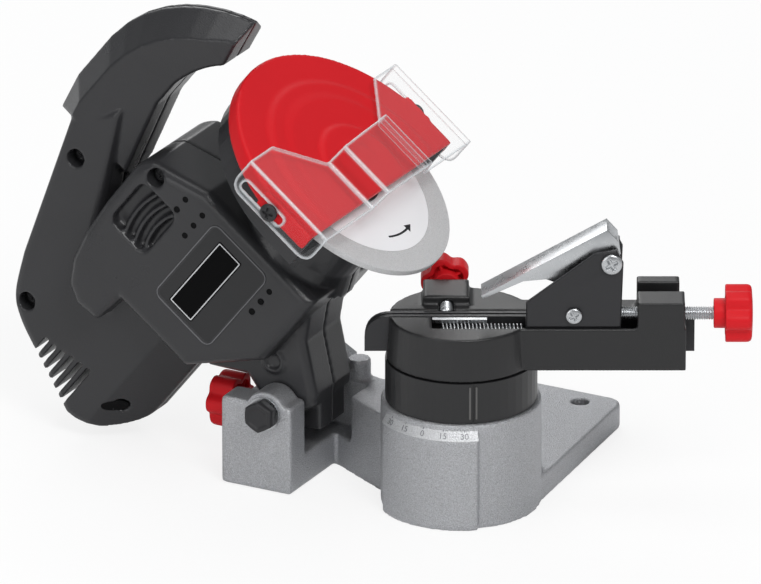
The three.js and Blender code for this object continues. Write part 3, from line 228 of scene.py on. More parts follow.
def moulded_group():
    """Moulded plastic: a fine spark-eroded grain as height, and broad soft changes of colour and gloss."""
    if "Moulded grain" in bpy.data.node_groups:
        return bpy.data.node_groups["Moulded grain"]
    broad_scale = 28
    group, start, end = new_group(
        "Moulded grain",
        [("Vector", "NodeSocketVector", None), ("Colour", "NodeSocketColor", (0.05, 0.05, 0.05, 1)),
         ("Grain size", "NodeSocketFloat", 1400.0), ("Colour change", "NodeSocketFloat", 0.12),
         ("Roughness", "NodeSocketFloat", 0.5), ("Gloss change", "NodeSocketFloat", 0.1)],
        [("Colour", "NodeSocketColor"), ("Roughness", "NodeSocketFloat"), ("Height", "NodeSocketFloat")])
    given = start.outputs
    fine = noise_node(group, given["Vector"], given["Grain size"], 3)
    broad = noise_node(group, given["Vector"], broad_scale, 4)
    centred = math_node(group, "SUBTRACT", broad, 0.5)
    colour = shaded(group, given["Colour"], centred, given["Colour change"])
    gloss = math_node(group, "MULTIPLY_ADD", centred, given["Gloss change"], given["Roughness"])
    put_out(group, end, colour, gloss, fine)
    return group


def cast_group():
    """Cast metal: coarse sand-like pits as height, with bright and dark flecks in colour and gloss."""
    if "Cast flecks" in bpy.data.node_groups:
        return bpy.data.node_groups["Cast flecks"]
    gloss_change = 0.5
    group, start, end = new_group(
        "Cast flecks",
        [("Vector", "NodeSocketVector", None), ("Colour", "NodeSocketColor", (0.4, 0.4, 0.4, 1)),
         ("Fleck size", "NodeSocketFloat", 900.0), ("Fleck strength", "NodeSocketFloat", 0.35),
         ("Roughness", "NodeSocketFloat", 0.5)],
        [("Colour", "NodeSocketColor"), ("Roughness", "NodeSocketFloat"), ("Height", "NodeSocketFloat")])
    given = start.outputs
    fine = noise_node(group, given["Vector"], given["Fleck size"], 6, 0.7)
    cells = group.nodes.new("ShaderNodeTexVoronoi")
    group.links.new(given["Vector"], cells.inputs["Vector"])
    group.links.new(given["Fleck size"], cells.inputs["Scale"])
    centred = math_node(group, "SUBTRACT", fine, 0.5)
    colour = shaded(group, given["Colour"], centred, given["Fleck strength"])
    gloss = math_node(group, "MULTIPLY_ADD", centred, gloss_change, given["Roughness"])
    pits = math_node(group, "ADD", fine, cells.outputs["Distance"])
    put_out(group, end, colour, gloss, pits)
    return group


def new_material(name, group, settings, bump, depth):
    """A material whose shader takes its colour, roughness and bumped normal from a node group.

    The group reads Object coordinates and has its own settings in each material.
    """
    material = bpy.data.materials.new(name)
    material.use_nodes = True
    tree = material.node_tree
    shader = tree.nodes["Principled BSDF"]
    place = tree.nodes.new("ShaderNodeTexCoord")
    pattern = tree.nodes.new("ShaderNodeGroup")
    pattern.node_tree = group
    for label, value in settings.items():
        pattern.inputs[label].default_value = value
    tree.links.new(place.outputs["Object"], pattern.inputs["Vector"])
    tree.links.new(pattern.outputs["Colour"], shader.inputs["Base Color"])
    tree.links.new(pattern.outputs["Roughness"], shader.inputs["Roughness"])
    relief = tree.nodes.new("ShaderNodeBump")
    relief.inputs["Strength"].default_value = bump
    relief.inputs["Distance"].default_value = depth
    tree.links.new(pattern.outputs["Height"], relief.inputs["Height"])
    tree.links.new(relief.outputs["Normal"], shader.inputs["Normal"])
    return material, shader


def plastic(name, colour, roughness, grain, bump, change=0.14, specular=0.45):
    """Moulded plastic with its grain."""
    if name in bpy.data.materials:
        return bpy.data.materials[name]
    settings = {"Colour": colour, "Grain size": grain, "Colour change": change, "Roughness": roughness}
    material, shader = new_material(name, moulded_group(), settings, bump, GRAIN_DEPTH)
    shader.inputs["Specular IOR Level"].default_value = specular
    return material


def metal(name, colour, roughness, fleck, strength, bump, metallic=1.0):
    """Cast or plated metal with flecks."""
    if name in bpy.data.materials:
        return bpy.data.materials[name]
    settings = {"Colour": colour, "Fleck size": fleck, "Fleck strength": strength, "Roughness": roughness}
    material, shader = new_material(name, cast_group(), settings, bump, CAST_DEPTH)
    shader.inputs["Metallic"].default_value = metallic
    return material


def clear_sheet(name):
    """Clear plastic sheet that shows what is behind it, and turns opaque in its pale colour at its edges and at a
    low angle: painted highlights on the bends and rims, and a painted reflection at a glance.

    The edges come from the mesh attribute "edge", which is 1 on a bend or rim and 0 on a flat stretch.
    """
    if name in bpy.data.materials:
        return bpy.data.materials[name]
    # Painted highlight and reflection: more of the pale sheet colour shows on bends, rims and faces seen at a
    # glance
    ripple, blend, least, glance_reflection_share, edge_highlight_share = 0.05, 0.25, 0.005, 0.12, 0.6
    settings = {"Colour": linear(228, 233, 236), "Grain size": 60.0, "Colour change": 0.06, "Roughness": 0.12}
    material, shader = new_material(name, moulded_group(), settings, ripple, GRAIN_DEPTH)
    tree = material.node_tree
    edge = tree.nodes.new("ShaderNodeAttribute")
    edge.attribute_name = "edge"
    low = tree.nodes.new("ShaderNodeLayerWeight")
    low.inputs["Blend"].default_value = blend
    glance = math_node(tree, "MULTIPLY_ADD", low.outputs["Facing"], glance_reflection_share, least)
    alpha = math_node(tree, "MULTIPLY_ADD", edge.outputs["Fac"], edge_highlight_share, glance, clamp=True)
    tree.links.new(alpha, shader.inputs["Alpha"])
    return material


def welded(node):
    """An editable copy of a node's solid with its doubles merged."""
    work = bmesh.new()
    work.from_mesh(NODES[node].data)
    bmesh.ops.remove_doubles(work, verts=work.verts, dist=MERGE)
    return work


def sharp_edges(work, least):
    """Edges of a solid whose two faces turn by more than least, in radians."""
    return [edge for edge in work.edges if len(edge.link_faces) == 2 and edge.calc_face_angle(0) > least]


def sharp_segments(node, least):
    """Ends of the sharp edges of a node's solid."""
    work = welded(node)
    ends = [[corner.co[:] for corner in edge.verts] for edge in sharp_edges(work, least)]
    work.free()
    return np.array(ends)


def mark_edges(mesh, segments, width):
    """Writes the attribute "edge": 1 near the closest segment, falling to 0 at the given width from it.

    A point's share along a segment is its projection held to 0 and 1, and its distance is taken from there.
    The value is full * (1 - distance / width), held to 0 and 1.
    """
    points = read_points(mesh)
    nearest = np.full(len(points), np.inf)
    for start, end in segments:
        along = end - start
        share = np.clip((points - start) @ along / (along @ along), 0, 1)
        nearest = np.minimum(nearest, np.linalg.norm(points - start - share[:, None] * along, axis=1))
    full = 1.4
    layer = mesh.attributes.new("edge", "FLOAT", "POINT")
    layer.data.foreach_set("value", np.clip(full - full * nearest / width, 0, 1).astype(np.float32))


def finishes():
    """Every finish of the machine by its slot's name."""
    colours = bpy.context.scene.sharpener_colours
    return {
        "charcoal_plastic": plastic("Charcoal plastic", colours.charcoal, roughness=0.29, grain=1500.0,
                                    bump=0.4, change=0.3),
        "black_plastic": plastic("Black plastic", colours.black, roughness=0.36, grain=1500.0, bump=0.25),
        "red_plastic": plastic("Red plastic", colours.red, roughness=0.44, grain=900.0, bump=0.06,
                               change=0.06, specular=0.16),
        "clear_plastic": clear_sheet("Clear plastic"),
        "cast_metal": metal("Cast metal", colours.casting, roughness=0.44, fleck=1900.0, strength=1.8,
                            bump=0.9, metallic=0.9),
        "bright_steel": metal("Plated steel", colours.steel, roughness=0.3, fleck=160.0, strength=0.1,
                              bump=0.01),
        "black_steel": metal("Blackened steel", colours.black_steel, roughness=0.4, fleck=800.0,
                             strength=0.2, bump=0.06, metallic=0.3),
        "abrasive": metal("Bonded abrasive", colours.abrasive, roughness=0.9, fleck=1500.0, strength=0.6,
                          bump=0.9, metallic=0.0),
    }


def body_of(node):
    """The body that a node belongs to."""
    for name, members in frame["record"]["behaviour"]["bodies"].items():
        if node in members:
            return name
    raise KeyError(node)


def slot_of(node):
    """The material slot of a node."""
    for entry in frame["record"]["subparts"]:
        if entry["node"] == node:
            return entry["material_slot"]
    raise KeyError(node)


def link_mesh(mesh, node, material=None):
    """Links a finished mesh in the finish of a node's slot, or in a material of its own."""
    obj = bpy.data.objects.new(mesh.name, mesh)
    bpy.context.scene.collection.objects.link(obj)
    mesh.materials.clear()
    mesh.materials.append(material or finishes()[slot_of(node)])
    return obj


def add_detail(mesh, node, material=None):
    """A finished mesh that rides on a node's body in its slot."""
    obj = link_mesh(mesh, node, material)
    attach(obj, body_of(node))
    return obj


def stand_for(mesh, node):
    """A finished mesh that rides on a node's body in its slot, in the place of the node itself."""
    obj = add_detail(mesh, node)
    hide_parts(node)
    return obj


def work_object(data):
    """A linked object for a mesh or a curve that is still being shaped."""
    work = bpy.data.objects.new("work", data)
    bpy.context.scene.collection.objects.link(work)
    return work


def baked(work):
    """The mesh that a work object comes to with its modifiers. The object is removed, and its data stays."""
    shaped = bpy.data.meshes.new_from_object(work.evaluated_get(bpy.context.evaluated_depsgraph_get()))
    bpy.data.objects.remove(work)
    return shaped


def softened(node, step, relax, exact=None):
    """A copy of a node's solid with its edges rounded, which stands for the node.

    The copy's doubles are merged, it is rebuilt on an even grid of the given step, and every point then
    moves half way to the middle of its neighbours, relax times. Points inside the box exact, which is a frame
    and two corners in it, go back onto the solid, so that a sliding piece keeps its clearance there.
    """
    mesh = NODES[node].data.copy()
    solid = welded(node)
    solid.to_mesh(mesh)
    solid.free()
    mesh.materials.clear()
    work = work_object(mesh)
    rebuild = work.modifiers.new("Rebuild", "REMESH")
    rebuild.mode = "VOXEL"
    rebuild.voxel_size = step
    rebuild.use_smooth_shade = True
    smooth = work.modifiers.new("Relax", "SMOOTH")
    smooth.factor = 0.5
    smooth.iterations = relax
    shaped = baked(work)
    bpy.data.meshes.remove(mesh)
    if exact:
        shaped = drawn_back(shaped, node, *exact)
    shaped.name = f"{node}_soft"
    return stand_for(shaped, node)


def drawn_back(mesh, node, matrix, low, high):
    """The mesh with its points between two corners of a frame put on the nearest point of a node's solid."""
    points = placed(read_points(mesh), matrix.inverted())
    inside = np.flatnonzero(np.all((points > low) & (points < high), axis=1))
    work = work_object(mesh)
    work.vertex_groups.new(name="Exact").add(inside.tolist(), 1.0, "REPLACE")
    wrap = work.modifiers.new("Wrap", "SHRINKWRAP")
    wrap.wrap_method = "NEAREST_SURFACEPOINT"
    wrap.target = NODES[node]
    wrap.vertex_group = "Exact"
    shaped = baked(work)
    bpy.data.meshes.remove(mesh)
    return shaped


def creased(node, width):
    """A copy of a node's solid with flat faces joined and sharp edges rounded, which stands for the node."""
    flat, least, shade_angle = math.radians(1), 0.5, math.radians(28)
    work = welded(node)
    bmesh.ops.dissolve_limit(work, angle_limit=flat, verts=work.verts, edges=work.edges)
    bmesh.ops.bevel(work, geom=sharp_edges(work, least), offset=width, segments=3, profile=0.5,
                    affect="EDGES", clamp_overlap=True)
    bmesh.ops.triangulate(work, faces=work.faces)
    for face in work.faces:
        face.smooth = True
    mesh = NODES[node].data.copy()
    work.to_mesh(mesh)
    work.free()
    mesh.set_sharp_from_angle(angle=shade_angle)
    mesh.name = f"{node}_creased"
    return stand_for(mesh, node)


def grid_mesh(name, points, around=False, along=False, caps=False, smooth=True):
    """A mesh from a grid of points: quads between neighbours, joined round either way, with flat end caps."""
    rows, columns = points.shape[:2]
    row = np.arange(rows if along else rows - 1)[:, None]
    column = np.arange(columns if around else columns - 1)[None, :]
    next_row, next_column = (row + 1) % rows, (column + 1) % columns
    quads = np.stack([row * columns + column, row * columns + next_column,
                      next_row * columns + next_column, next_row * columns + column], axis=-1).reshape(-1, 4)
    loops, sizes = [quads.reshape(-1)], [np.full(len(quads), 4)]
    if caps:
        ring = np.arange(columns)
        loops += [ring[::-1], ring + (rows - 1) * columns]
        sizes.append(np.full(2, columns))
    loops, sizes = np.concatenate(loops), np.concatenate(sizes)
    mesh = bpy.data.meshes.new(name)
    mesh.vertices.add(rows * columns)
    mesh.vertices.foreach_set("co", points.reshape(-1).astype(np.float32))
    mesh.loops.add(len(loops))
    mesh.loops.foreach_set("vertex_index", loops.astype(np.int32))
    mesh.polygons.add(len(sizes))
    mesh.polygons.foreach_set("loop_start", np.concatenate([[0], np.cumsum(sizes)[:-1]]).astype(np.int32))
    mesh.polygons.foreach_set("loop_total", sizes.astype(np.int32))
    mesh.polygons.foreach_set("use_smooth", np.full(len(sizes), smooth))
    mesh.update(calc_edges=True)
    mesh.validate()
    return mesh


def solid_mesh(name, matrix, points, along=False, caps=False, smooth=True):
    """A closed mesh from rings of points in a frame, with its doubles welded and its faces outwards."""
    weld = 1e-7
    mesh = grid_mesh(name, placed(points, matrix), True, along, caps, smooth)
    work = bmesh.new()
    work.from_mesh(mesh)
    bmesh.ops.remove_doubles(work, verts=work.verts, dist=weld)
    bmesh.ops.recalc_face_normals(work, faces=work.faces)
    work.to_mesh(mesh)
    work.free()
    return mesh


def placed(points, matrix):
    """Points of a frame taken to the model by the frame's matrix, or back by its inverse."""
    turn = np.array(matrix)
    return points @ turn[:3, :3].T + turn[:3, 3]


def facing(larger, origin, axis):
    """A local frame in millimetres whose z points along an axis of a larger frame."""
    turn = Vector(axis).to_track_quat("Z", "Y").to_matrix().to_4x4()
    return larger @ Matrix.Translation(origin) @ turn


def full_turn(count):
    """Evenly spaced angles of one turn, in radians."""
    return np.arange(count) * 2 * math.pi / count


def ring_points(reach, angle, height):
    """A grid of points at the given reach, angle and height about z."""
    return np.stack(np.broadcast_arrays(reach * np.cos(angle), reach * np.sin(angle), height), axis=-1)


def eased(corners, sizes):
    """A path through corners: each is cut back by its size and bridged by a parabola's arc."""
    corners, steps = np.asarray(corners, float), 5
    share = np.linspace(0, 1, steps)[:, None]
    path = [corners[:1]]
    for before, corner, after, size in zip(corners[:-2], corners[1:-1], corners[2:], sizes):
        near = corner + (before - corner) * (size / np.linalg.norm((before - corner)[:2]))
        far = corner + (after - corner) * (size / np.linalg.norm((after - corner)[:2]))
        path.append((1 - share) ** 2 * near + 2 * (1 - share) * share * corner + share ** 2 * far)
    path.append(corners[-1:])
    return np.concatenate(path)


def turned(name, matrix, profile, count, bite=None, rib=None):
    """A closed solid turned about z.

    A point of the profile is (radius, height, share of the flutes, share of the ribs), and the shares can be
    left out. At angle a its radius is radius * (1 - flute share * bite(a)), and its height is
    height - rib share * rib(a).
    """
    profile, angle = np.asarray(profile, float), full_turn(count)
    reach, height = profile[:, 0, None], profile[:, 1, None]
    if bite:
        reach = reach * (1 - profile[:, 2, None] * bite(angle))
    if rib:
        height = height - profile[:, 3, None] * rib(angle)
    return solid_mesh(name, matrix, ring_points(reach, angle, height))


def lobed_knob(name, matrix, radius, depth, hub, hub_radius, lobes, bore):
    """Hand knob about z: an eased, fluted grip, a hollow back with ribs, and a hub that takes the screw.

    Between two lobes the flute bites a share of the radius, as a power of half of 1 - cos(lobes * a). Each
    rib is a bell curve over the angle from the middle of its lobe.
    """
    recess, lip, floor, dome = 3.2, 2.6, 0.6, 2.5
    bite_share, bite_power, rib_width = 0.2, 1.8, 0.11
    crown_share, crown_bite = 0.55, 0.4
    corners = [
        (0, depth - dome, 0, 0), (bore, depth - dome, 0, 0), (bore, -hub, 0, 0), (hub_radius, -hub, 0, 0),
        (hub_radius, recess, 0, 1), (radius - lip, recess, 1, 1), (radius - lip, 0, 1, 0), (radius, 0, 1, 0),
        (radius, depth, 1, 0), (radius * crown_share, depth + dome / 6, crown_bite, 0),
        (0, depth + dome / 4, 0, 0)]
    profile = eased(corners, [0.2, 0.3, 0.7, 0.5, 0.6, 0.5, 0.7, 2.2, 1.6])

    def flute(a):
        return bite_share * ((1 - np.cos(lobes * a)) / 2) ** bite_power

    def rib(a):
        away = (a * lobes / (2 * math.pi) + 0.5) % 1 - 0.5
        return (recess - floor) * np.exp(-(away / rib_width) ** 4)

    columns = lobes * 20
    return turned(name, matrix, profile, columns, flute, rib)


def threaded(name, matrix, radius, length, pitch):
    """Threaded rod along z.

    The radius drops by a share of the pitch in a triangle wave of the height in pitches less the angle in
    turns, and the wave tapers off over one pitch at each end.
    """
    depth_share, rows_per_turn, columns = 0.6, 8, 28
    rows = int(length / pitch * rows_per_turn) + 1
    height, angle = np.linspace(0, length, rows)[:, None], full_turn(columns)
    wave = np.abs(((height / pitch - angle / (2 * math.pi)) % 1) * 2 - 1)
    taper = np.clip(np.minimum(height, length - height) / pitch, 0, 1)
    reach = radius - depth_share * pitch * (1 - (1 - wave) * taper)
    return solid_mesh(name, matrix, ring_points(reach, angle, height), caps=True)


def cross_head(name, matrix, radius, height, shank, length):
    """Domed screw about z with a cross recess, its seat at 0 and its shank below.

    Over the head the height is height * (0.5 + 0.5 * sqrt(1 - s^2)) at a share s of the radius. The recess is
    the product of two soft steps, one over the arms' width and one over their reach.
    """
    columns, start, turn, chamfer = 72, 0.35, 0.5, 0.5
    soft, half_width, half_reach, sink = 0.1 * radius, 0.15 * radius, 0.62 * radius, 0.6 * height
    share = np.sin(np.linspace(0, math.pi / 2, 22))
    head = np.column_stack([radius * share, height * (0.5 + 0.5 * np.sqrt(1 - share ** 2))])
    rest = np.array([(radius, 0.0), (shank, 0.0), (shank, chamfer - length), (shank - chamfer, -length),
                     (0, -length)])
    profile = np.concatenate([head, rest])
    angle = full_turn(columns) + start
    x, y = profile[:, 0, None] * np.cos(angle), profile[:, 0, None] * np.sin(angle)
    across, up = x * math.cos(turn) + y * math.sin(turn), y * math.cos(turn) - x * math.sin(turn)
    arms, reach = np.minimum(np.abs(across), np.abs(up)), np.maximum(np.abs(across), np.abs(up))
    recess = (np.clip((half_width - arms) / soft + 0.5, 0, 1)
              * np.clip((half_reach - reach) / soft + 0.5, 0, 1))
    on_head = (np.arange(len(profile)) < len(head))[:, None]
    z = profile[:, 1, None] - sink * recess * on_head
    return solid_mesh(name, matrix, np.stack([x, y, z], axis=-1))


def hex_bolt(name, matrix, across, height, shank, length):
    """Hexagon bolt about z with chamfered corners and a dished face, its seat at 0 and its shank below.

    The outline at angle a is across / 2 / cos(a folded into 30 degrees either way). Past the chamfer's circle
    the face drops by a share of the distance.
    """
    columns, drop_share, circle_share = 96, 0.58, 0.97
    dish, dish_share, dish_slope = 0.5, 0.74, 0.06
    angle = full_turn(columns)
    fold = (angle + math.pi / 6) % (math.pi / 3) - math.pi / 6
    share = np.array([0.0, 0.35, 0.62, 0.7, 0.78, 0.86, 0.92, 0.96, 1.0])[:, None]
    reach = across / 2 / np.cos(fold) * share
    top = height - drop_share * np.maximum(reach - across / 2 * circle_share, 0)
    top -= dish * np.clip((dish_share - share) / dish_slope, 0, 1)
    under = reach[:2:-1]
    stem = np.repeat([[shank], [shank], [0.0]], columns, axis=1)
    stem_height = np.repeat([[0.0], [-length], [-length]], columns, axis=1)
    heights = np.concatenate([top, np.zeros_like(under), stem_height])
    return solid_mesh(name, matrix, ring_points(np.concatenate([reach, under, stem]), angle, heights))


def numeral(text, height, rise):
    """The mesh of a short number, as flat points centred on the origin in millimetres."""
    size_to_height = 1.4
    curve = bpy.data.curves.new("Numeral", "FONT")
    curve.body = text
    curve.size = height * size_to_height
    curve.align_x, curve.align_y = "CENTER", "CENTER"
    curve.extrude = rise / 2
    mesh = baked(work_object(curve))
    bpy.data.curves.remove(curve)
    return mesh


def read_points(mesh):
    """All points of a mesh as an array."""
    points = np.empty(len(mesh.vertices) * 3, np.float32)
    mesh.vertices.foreach_get("co", points)
    return points.reshape(-1, 3).astype(float)


def write_points(mesh, points):
    """Puts an array of points back into a mesh."""
    mesh.vertices.foreach_set("co", points.reshape(-1).astype(np.float32))
    mesh.update()


def at_height(outline, height):
    """An outline of points in x and y, lifted to a height."""
    return np.column_stack([outline, np.full(len(outline), height)])


def sheet_solid(name, matrix, outline, low, high):
    """A flat plate between two heights over a closed outline of points in x and y."""
    rings = np.stack([at_height(outline, low), at_height(outline, high)])
    return solid_mesh(name, matrix, rings, caps=True, smooth=False)


def border_solid(name, matrix, sides, width, low, high):
    """A flat border of the given width, between two heights, inside a rectangle with rounded corners."""
    left, right, bottom, top, corner = sides
    inner_share = 0.8
    outer = round_rectangle(left, right, bottom, top, corner)
    inner = round_rectangle(left + width, right - width, bottom + width, top - width, corner * inner_share)
    rings = np.stack([at_height(outer, low), at_height(outer, high), at_height(inner, high),
                      at_height(inner, low)])
    return solid_mesh(name, matrix, rings, along=True, smooth=False)


def round_rectangle(left, right, low, high, corner):
    """Outline of a rectangle with quarter circles at its corners."""
    steps = 7
    turn = np.linspace(0, math.pi / 2, steps)
    arcs = []
    for index, (x, y) in enumerate(((right - corner, high - corner), (left + corner, high - corner),
                                    (left + corner, low + corner), (right - corner, low + corner))):
        angle = turn + index * math.pi / 2
        arcs.append(np.column_stack([x + corner * np.cos(angle), y + corner * np.sin(angle)]))
    return np.concatenate(arcs)


class SHARPENER_OT_stage(bpy.types.Operator):
    """Floor, lights, world and camera at the viewing angle of the photograph"""
    bl_idname = "sharpener.stage"
    bl_label = "Stage"

    def execute(self, context):
        scene = context.scene
        scene.view_settings.view_transform = "Standard"
        world = bpy.data.worlds.new("Studio")
        scene.world = world
        world.use_nodes = True
        tree = world.node_tree
        lit = tree.nodes["Background"]
        lit.inputs["Color"].default_value = (0.86, 0.88, 0.9, 1)
        lit.inputs["Strength"].default_value = 0.3
        white = tree.nodes.new("ShaderNodeBackground")
        white.inputs["Color"].default_value = (1, 1, 1, 1)
        mix_shaders(tree, seen_rays(tree), lit, white, "World Output")
        self.make_floor(context)
        self.make_lights(context)
        self.make_camera(context)
        return {"FINISHED"}

    def make_floor(self, context):
        """A plain pale floor that shows white to the camera and keeps the object's shadow."""
        reach, drop, glow, white_share = 4.0, 0.0002, 1.03, 0.8
        corners = np.array([[-reach, -reach], [reach, -reach], [-reach, reach], [reach, reach]])
        points = at_height(corners, -drop).reshape(2, 2, 3)
        floor = bpy.data.objects.new("Floor", grid_mesh("Floor", points, smooth=False))
        context.scene.collection.objects.link(floor)
        material = bpy.data.materials.new("Pale floor")
        material.use_nodes = True
        tree = material.node_tree
        shader = tree.nodes["Principled BSDF"]
        shader.inputs["Base Color"].default_value = (0.9, 0.9, 0.9, 1)
        shader.inputs["Roughness"].default_value = 0.9
        white = tree.nodes.new("ShaderNodeEmission")
        white.inputs["Color"].default_value = (1, 1, 1, 1)
        white.inputs["Strength"].default_value = glow
        share = math_node(tree, "MULTIPLY", seen_rays(tree), white_share)
        mix_shaders(tree, share, shader, white, "Material Output")
        floor.data.materials.append(material)

    def make_lights(self, context):
        """Soft area lights: a key from the right front, a fill from the front, a rim and a top light."""
        aim = Vector((-0.02, 0.0, 0.1))
        for name, place, size, power in (
                ("Key", (1.3, -1.1, 1.9), 0.9, 27.0),
                ("Fill", (-0.4, -2.0, 0.9), 1.4, 9.0),
                ("Rim", (-1.2, 1.4, 1.3), 1.2, 12.0),
                ("Top", (-0.2, 0.0, 2.2), 1.3, 10.0)):
            light = bpy.data.lights.new(name, "AREA")
            light.size = size
            light.energy = power
            lamp = bpy.data.objects.new(name, light)
            lamp.location = place
            lamp.rotation_mode = "QUATERNION"
            lamp.rotation_quaternion = (aim - Vector(place)).to_track_quat("-Z", "Y")
            context.scene.collection.objects.link(lamp)

    def make_camera(self, context):
        """A long lens at the photograph's angle, aimed so that a known point falls where it does there."""
        azimuth, elevation = math.radians(28), math.radians(21.8)
        distance = context.scene.sharpener_sizes.camera_distance
        back = Vector((math.sin(azimuth) * math.cos(elevation), -math.cos(azimuth) * math.cos(elevation),
                       math.sin(elevation)))
        right = Vector((math.cos(azimuth), math.sin(azimuth), 0))
        up = back.cross(right)
        known, known_pixel, pixels_per_metre = MACHINE @ Vector((-45, 0, 80)), (369.7, 309.8), 2300
        frame_width, frame_height = 761, 584
        across, down = known_pixel[0] - frame_width / 2, known_pixel[1] - frame_height / 2
        aim = known - right * (across / pixels_per_metre) + up * (down / pixels_per_metre)
        camera = bpy.data.cameras.new("Camera")
        camera.sensor_width = 36
        camera.lens = camera.sensor_width * pixels_per_metre * distance / frame_width
        camera.clip_start, camera.clip_end = 0.05, 20
        view = bpy.data.objects.new("Camera", camera)
        view.location = aim + back * distance
        view.rotation_mode = "QUATERNION"
        view.rotation_quaternion = (-back).to_track_quat("-Z", "Y")
        context.scene.collection.objects.link(view)
        context.scene.camera = view


class SHARPENER_OT_carried(bpy.types.Operator):
    """Finishes for the pieces whose modelled shape stays as it is"""
    bl_idname = "sharpener.carried"
    bl_label = "Carried pieces"

    def execute(self, context):
        looks = finishes()
        for node, obj in NODES.items():
            obj.data.materials.clear()
            obj.data.materials.append(looks[slot_of(node)])
        return {"FINISHED"}


class SHARPENER_OT_housing(bpy.types.Operator):
    """Moulded halves of the motor housing, with rounded edges"""
    bl_idname = "sharpener.housing"
    bl_label = "Housing"

    def execute(self, context):
        step = context.scene.sharpener_sizes.edge_rounding
        for node in ("housing_front", "housing_rear"):
            softened(node, step, 2)
        return {"FINISHED"}


class SHARPENER_OT_castings(bpy.types.Operator):
    """Cast base and moulded vise, with rounded edges"""
    bl_idname = "sharpener.castings"
    bl_label = "Base and vise"

    def execute(self, context):
        step = context.scene.sharpener_sizes.edge_rounding
        finer, rail_slot = 0.8, (VISE, (-45, 0, VISE_TOP - 18), (102, 5.5, VISE_TOP - 12))
        softened("base_casting", step, 4)
        softened("vise_body", step * finer, 2, rail_slot)
        return {"FINISHED"}


class SHARPENER_OT_wheel(bpy.types.Operator):
    """Grinding wheel with its paper label and the arrow that shows which way it turns"""
    bl_idname = "sharpener.wheel"
    bl_label = "Grinding wheel"

    def execute(self, context):
        sizes = context.scene.sharpener_sizes
        radius, thick = sizes.wheel_radius / MM, sizes.wheel_thickness / MM
        label = sizes.label_radius / MM
        relief, bore, gap, arrow_radius = 0.25, 6.0, 0.2, 31.0
        place = HEAD @ Matrix.Translation((SPINDLE_X, 0, WHEEL_SEAT))
        corners = [(bore, 0), (radius, 0), (radius, thick), (label, thick), (label, thick - relief),
                   (bore, thick - relief), (bore, 0)]
        profile = eased(corners, [0.5, 0.5, 0.05, 0.05, 0.1])
        stand_for(turned("wheel_disc", place, profile, 160), "grinding_wheel")
        low, high = thick - relief + 0.02, thick - 0.04
        corners = [(bore + gap, low), (label - gap, low), (label - gap, high), (bore + gap, high),
                   (bore + gap, low)]
        profile = eased(corners, [0.03, 0.05, 0.05])
        paper = plastic("Label paper", context.scene.sharpener_colours.label, roughness=0.5, grain=500.0,
                        bump=0.05, change=0.03)
        add_detail(turned("wheel_label", place, profile, 120), "grinding_wheel", paper)
        ink = plastic("Printed ink", linear(30, 30, 32), roughness=0.5, grain=500.0, bump=0.05, change=0.1)
        mesh = sheet_solid("wheel_arrow", place, self.arrow(arrow_radius), high + 0.01, high + 0.04)
        add_detail(mesh, "grinding_wheel", ink)
        return {"FINISHED"}

    def arrow(self, radius):
        """Outline of an arc about the axis that ends in a pointed head."""
        half_line, half_head, tail_degrees, neck_degrees, tip_degrees = 0.5, 2, -20, 7, 15
        angle = np.radians(np.linspace(tail_degrees, neck_degrees, 14))
        outer, inner = radius + half_line, radius - half_line
        neck, tip = math.radians(neck_degrees), math.radians(tip_degrees)
        head = [((radius + half_head) * math.cos(neck), (radius + half_head) * math.sin(neck)),
                (radius * math.cos(tip), radius * math.sin(tip)),
                ((radius - half_head) * math.cos(neck), (radius - half_head) * math.sin(neck))]
        there = np.column_stack([outer * np.cos(angle), outer * np.sin(angle)])
        back = np.column_stack([inner * np.cos(angle), inner * np.sin(angle)])[::-1]
        return np.concatenate([there, head, back])


class SHARPENER_OT_guard(bpy.types.Operator):
    """Red wheel guard and clear visor, with eased edges"""
    bl_idname = "sharpener.guard"
    bl_label = "Guard and visor"

    def execute(self, context):
        cover_step, sheet_step, edge_width = 0.0008, 0.0006, 0.0013
        cover = softened("guard_cover", cover_step, 7)
        self.swell(cover.data)
        visor = softened("visor", sheet_step, 5)
        # The visor's bends and rims are marked for its painted highlight
        mark_edges(visor.data, sharp_segments("visor", math.radians(20)), edge_width)
        return {"FINISHED"}

    def swell(self, mesh):
        """Raises two discs off the guard's face, each high at its left edge and fading to the right.

        A point of the face rises by height * step((radius - its distance) / slope) * fade, where step is
        3t^2 - 2t^3 on t held to 0 and 1. Fade is middle_fade at the axis and falls to the right by fade_slope
        over a radius, held to 0 and 1.
        """
        x, y, z = placed(read_points(mesh), HEAD.inverted()).T
        face_low, face_depth, middle_fade, fade_slope = 101.8, 1.2, 0.62, 0.5
        face = np.clip((z - face_low) / face_depth, 0, 1)
        away = np.hypot(x - SPINDLE_X, y)
        for radius, slope, height in ((51, 5, 1.5), (25, 4, 1.5)):
            step = np.clip((radius - away) / slope, 0, 1)
            fade = np.clip(middle_fade - fade_slope * (x - SPINDLE_X) / radius, 0, 1)
            z = z + height * face * fade * step * step * (3 - 2 * step)
        write_points(mesh, placed(np.column_stack([x, y, z]), HEAD))


